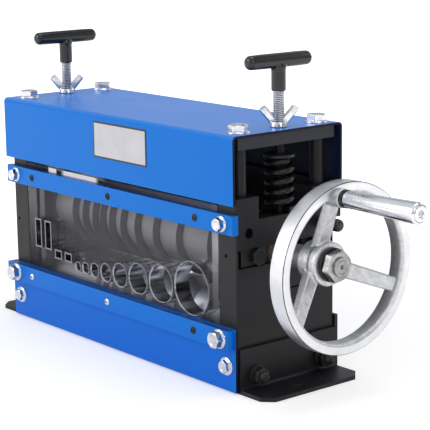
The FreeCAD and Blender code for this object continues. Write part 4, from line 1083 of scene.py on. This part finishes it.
def makeWorld():
    world = bpy.data.worlds.new("studio")
    bpy.context.scene.world = world
    world.use_nodes = True
    tree = world.node_tree
    tree.nodes.clear()
    ray = put(tree, "ShaderNodeLightPath").outputs
    split = partsOf(tree, put(tree, "ShaderNodeTexCoord").outputs["Generated"])
    # what metal sees: white in front, greyer behind and low down, a dark strip between two lamps
    # along the ceiling, and the dark side of the room that the feeding side and the handwheel face
    front = fitted(tree, split["Y"], -0.6, 0.5, studio["front"], studio["behind"])
    height = fitted(tree, split["Z"], -0.05, 0.4, studio["horizon"], 1.0)
    ceiling = calc(tree, "ABSOLUTE", calc(tree, "SUBTRACT", product(tree, split["Y"], 0.8),
                                          product(tree, split["Z"], 0.6)))
    strip = fitted(tree, ceiling, 0.03, 0.12, studio["strip"], 1.0)
    facing = calc(tree, "ADD", product(tree, split["X"], 0.78), product(tree, split["Y"], -0.62))
    facing = fitted(tree, facing, 0.90, 0.985, 1.0, studio["facing"])
    grey = product(tree, front, height, strip, facing)
    shine = put(tree, "ShaderNodeCombineColor",
                {0: product(tree, grey, 0.93), 1: product(tree, grey, 0.97), 2: grey}).outputs[0]
    shade = mixed(tree, ray["Is Glossy Ray"], tone(*[studio["ambient"]] * 3), shine)
    shade = mixed(tree, calc(tree, "MAXIMUM", ray["Is Camera Ray"], ray["Is Transmission Ray"]),
                  shade, tone(1, 1, 1))
    light = put(tree, "ShaderNodeBackground", {"Color": shade, "Strength": 1.0})
    put(tree, "ShaderNodeOutputWorld", {"Surface": light.outputs[0]})


def makeLamps():
    for name, place, size, power in studio["lamps"]:
        data = bpy.data.lights.new(name, "AREA")
        data.shape = "SQUARE"
        data.size = size
        data.energy = power
        lamp = linked(name, data)
        lamp.location = place
        aim = Vector(studio["aim"]) - Vector(place)
        lamp.rotation_euler = aim.to_track_quat("-Z", "Y").to_euler()


cameraSize = {"place": (1.0928, -0.8198, 0.4040), "target": (0.14591, -0.0487, 0.14822),
              "lens": 128.3, "sensor": 36.0, "roll": -0.81}


def makeCamera():
    data = bpy.data.cameras.new("camera")
    data.lens = cameraSize["lens"]
    data.sensor_width = cameraSize["sensor"]
    camera = linked("camera", data)
    place = Vector(cameraSize["place"])
    back = (place - Vector(cameraSize["target"])).normalized()
    right = Vector((0, 0, 1)).cross(back).normalized()
    up = back.cross(right)
    tilt = math.radians(cameraSize["roll"])
    across = right * math.cos(tilt) + up * math.sin(tilt)
    upward = up * math.cos(tilt) - right * math.sin(tilt)
    turn = Matrix((across, upward, back)).transposed().to_4x4()
    camera.matrix_world = Matrix.Translation(place) @ turn
    bpy.context.scene.camera = camera


makeFloor()
makeWorld()
makeLamps()
makeCamera()
bpy.context.scene.view_settings.view_transform = "Standard"
print("stage, lamps and camera set")
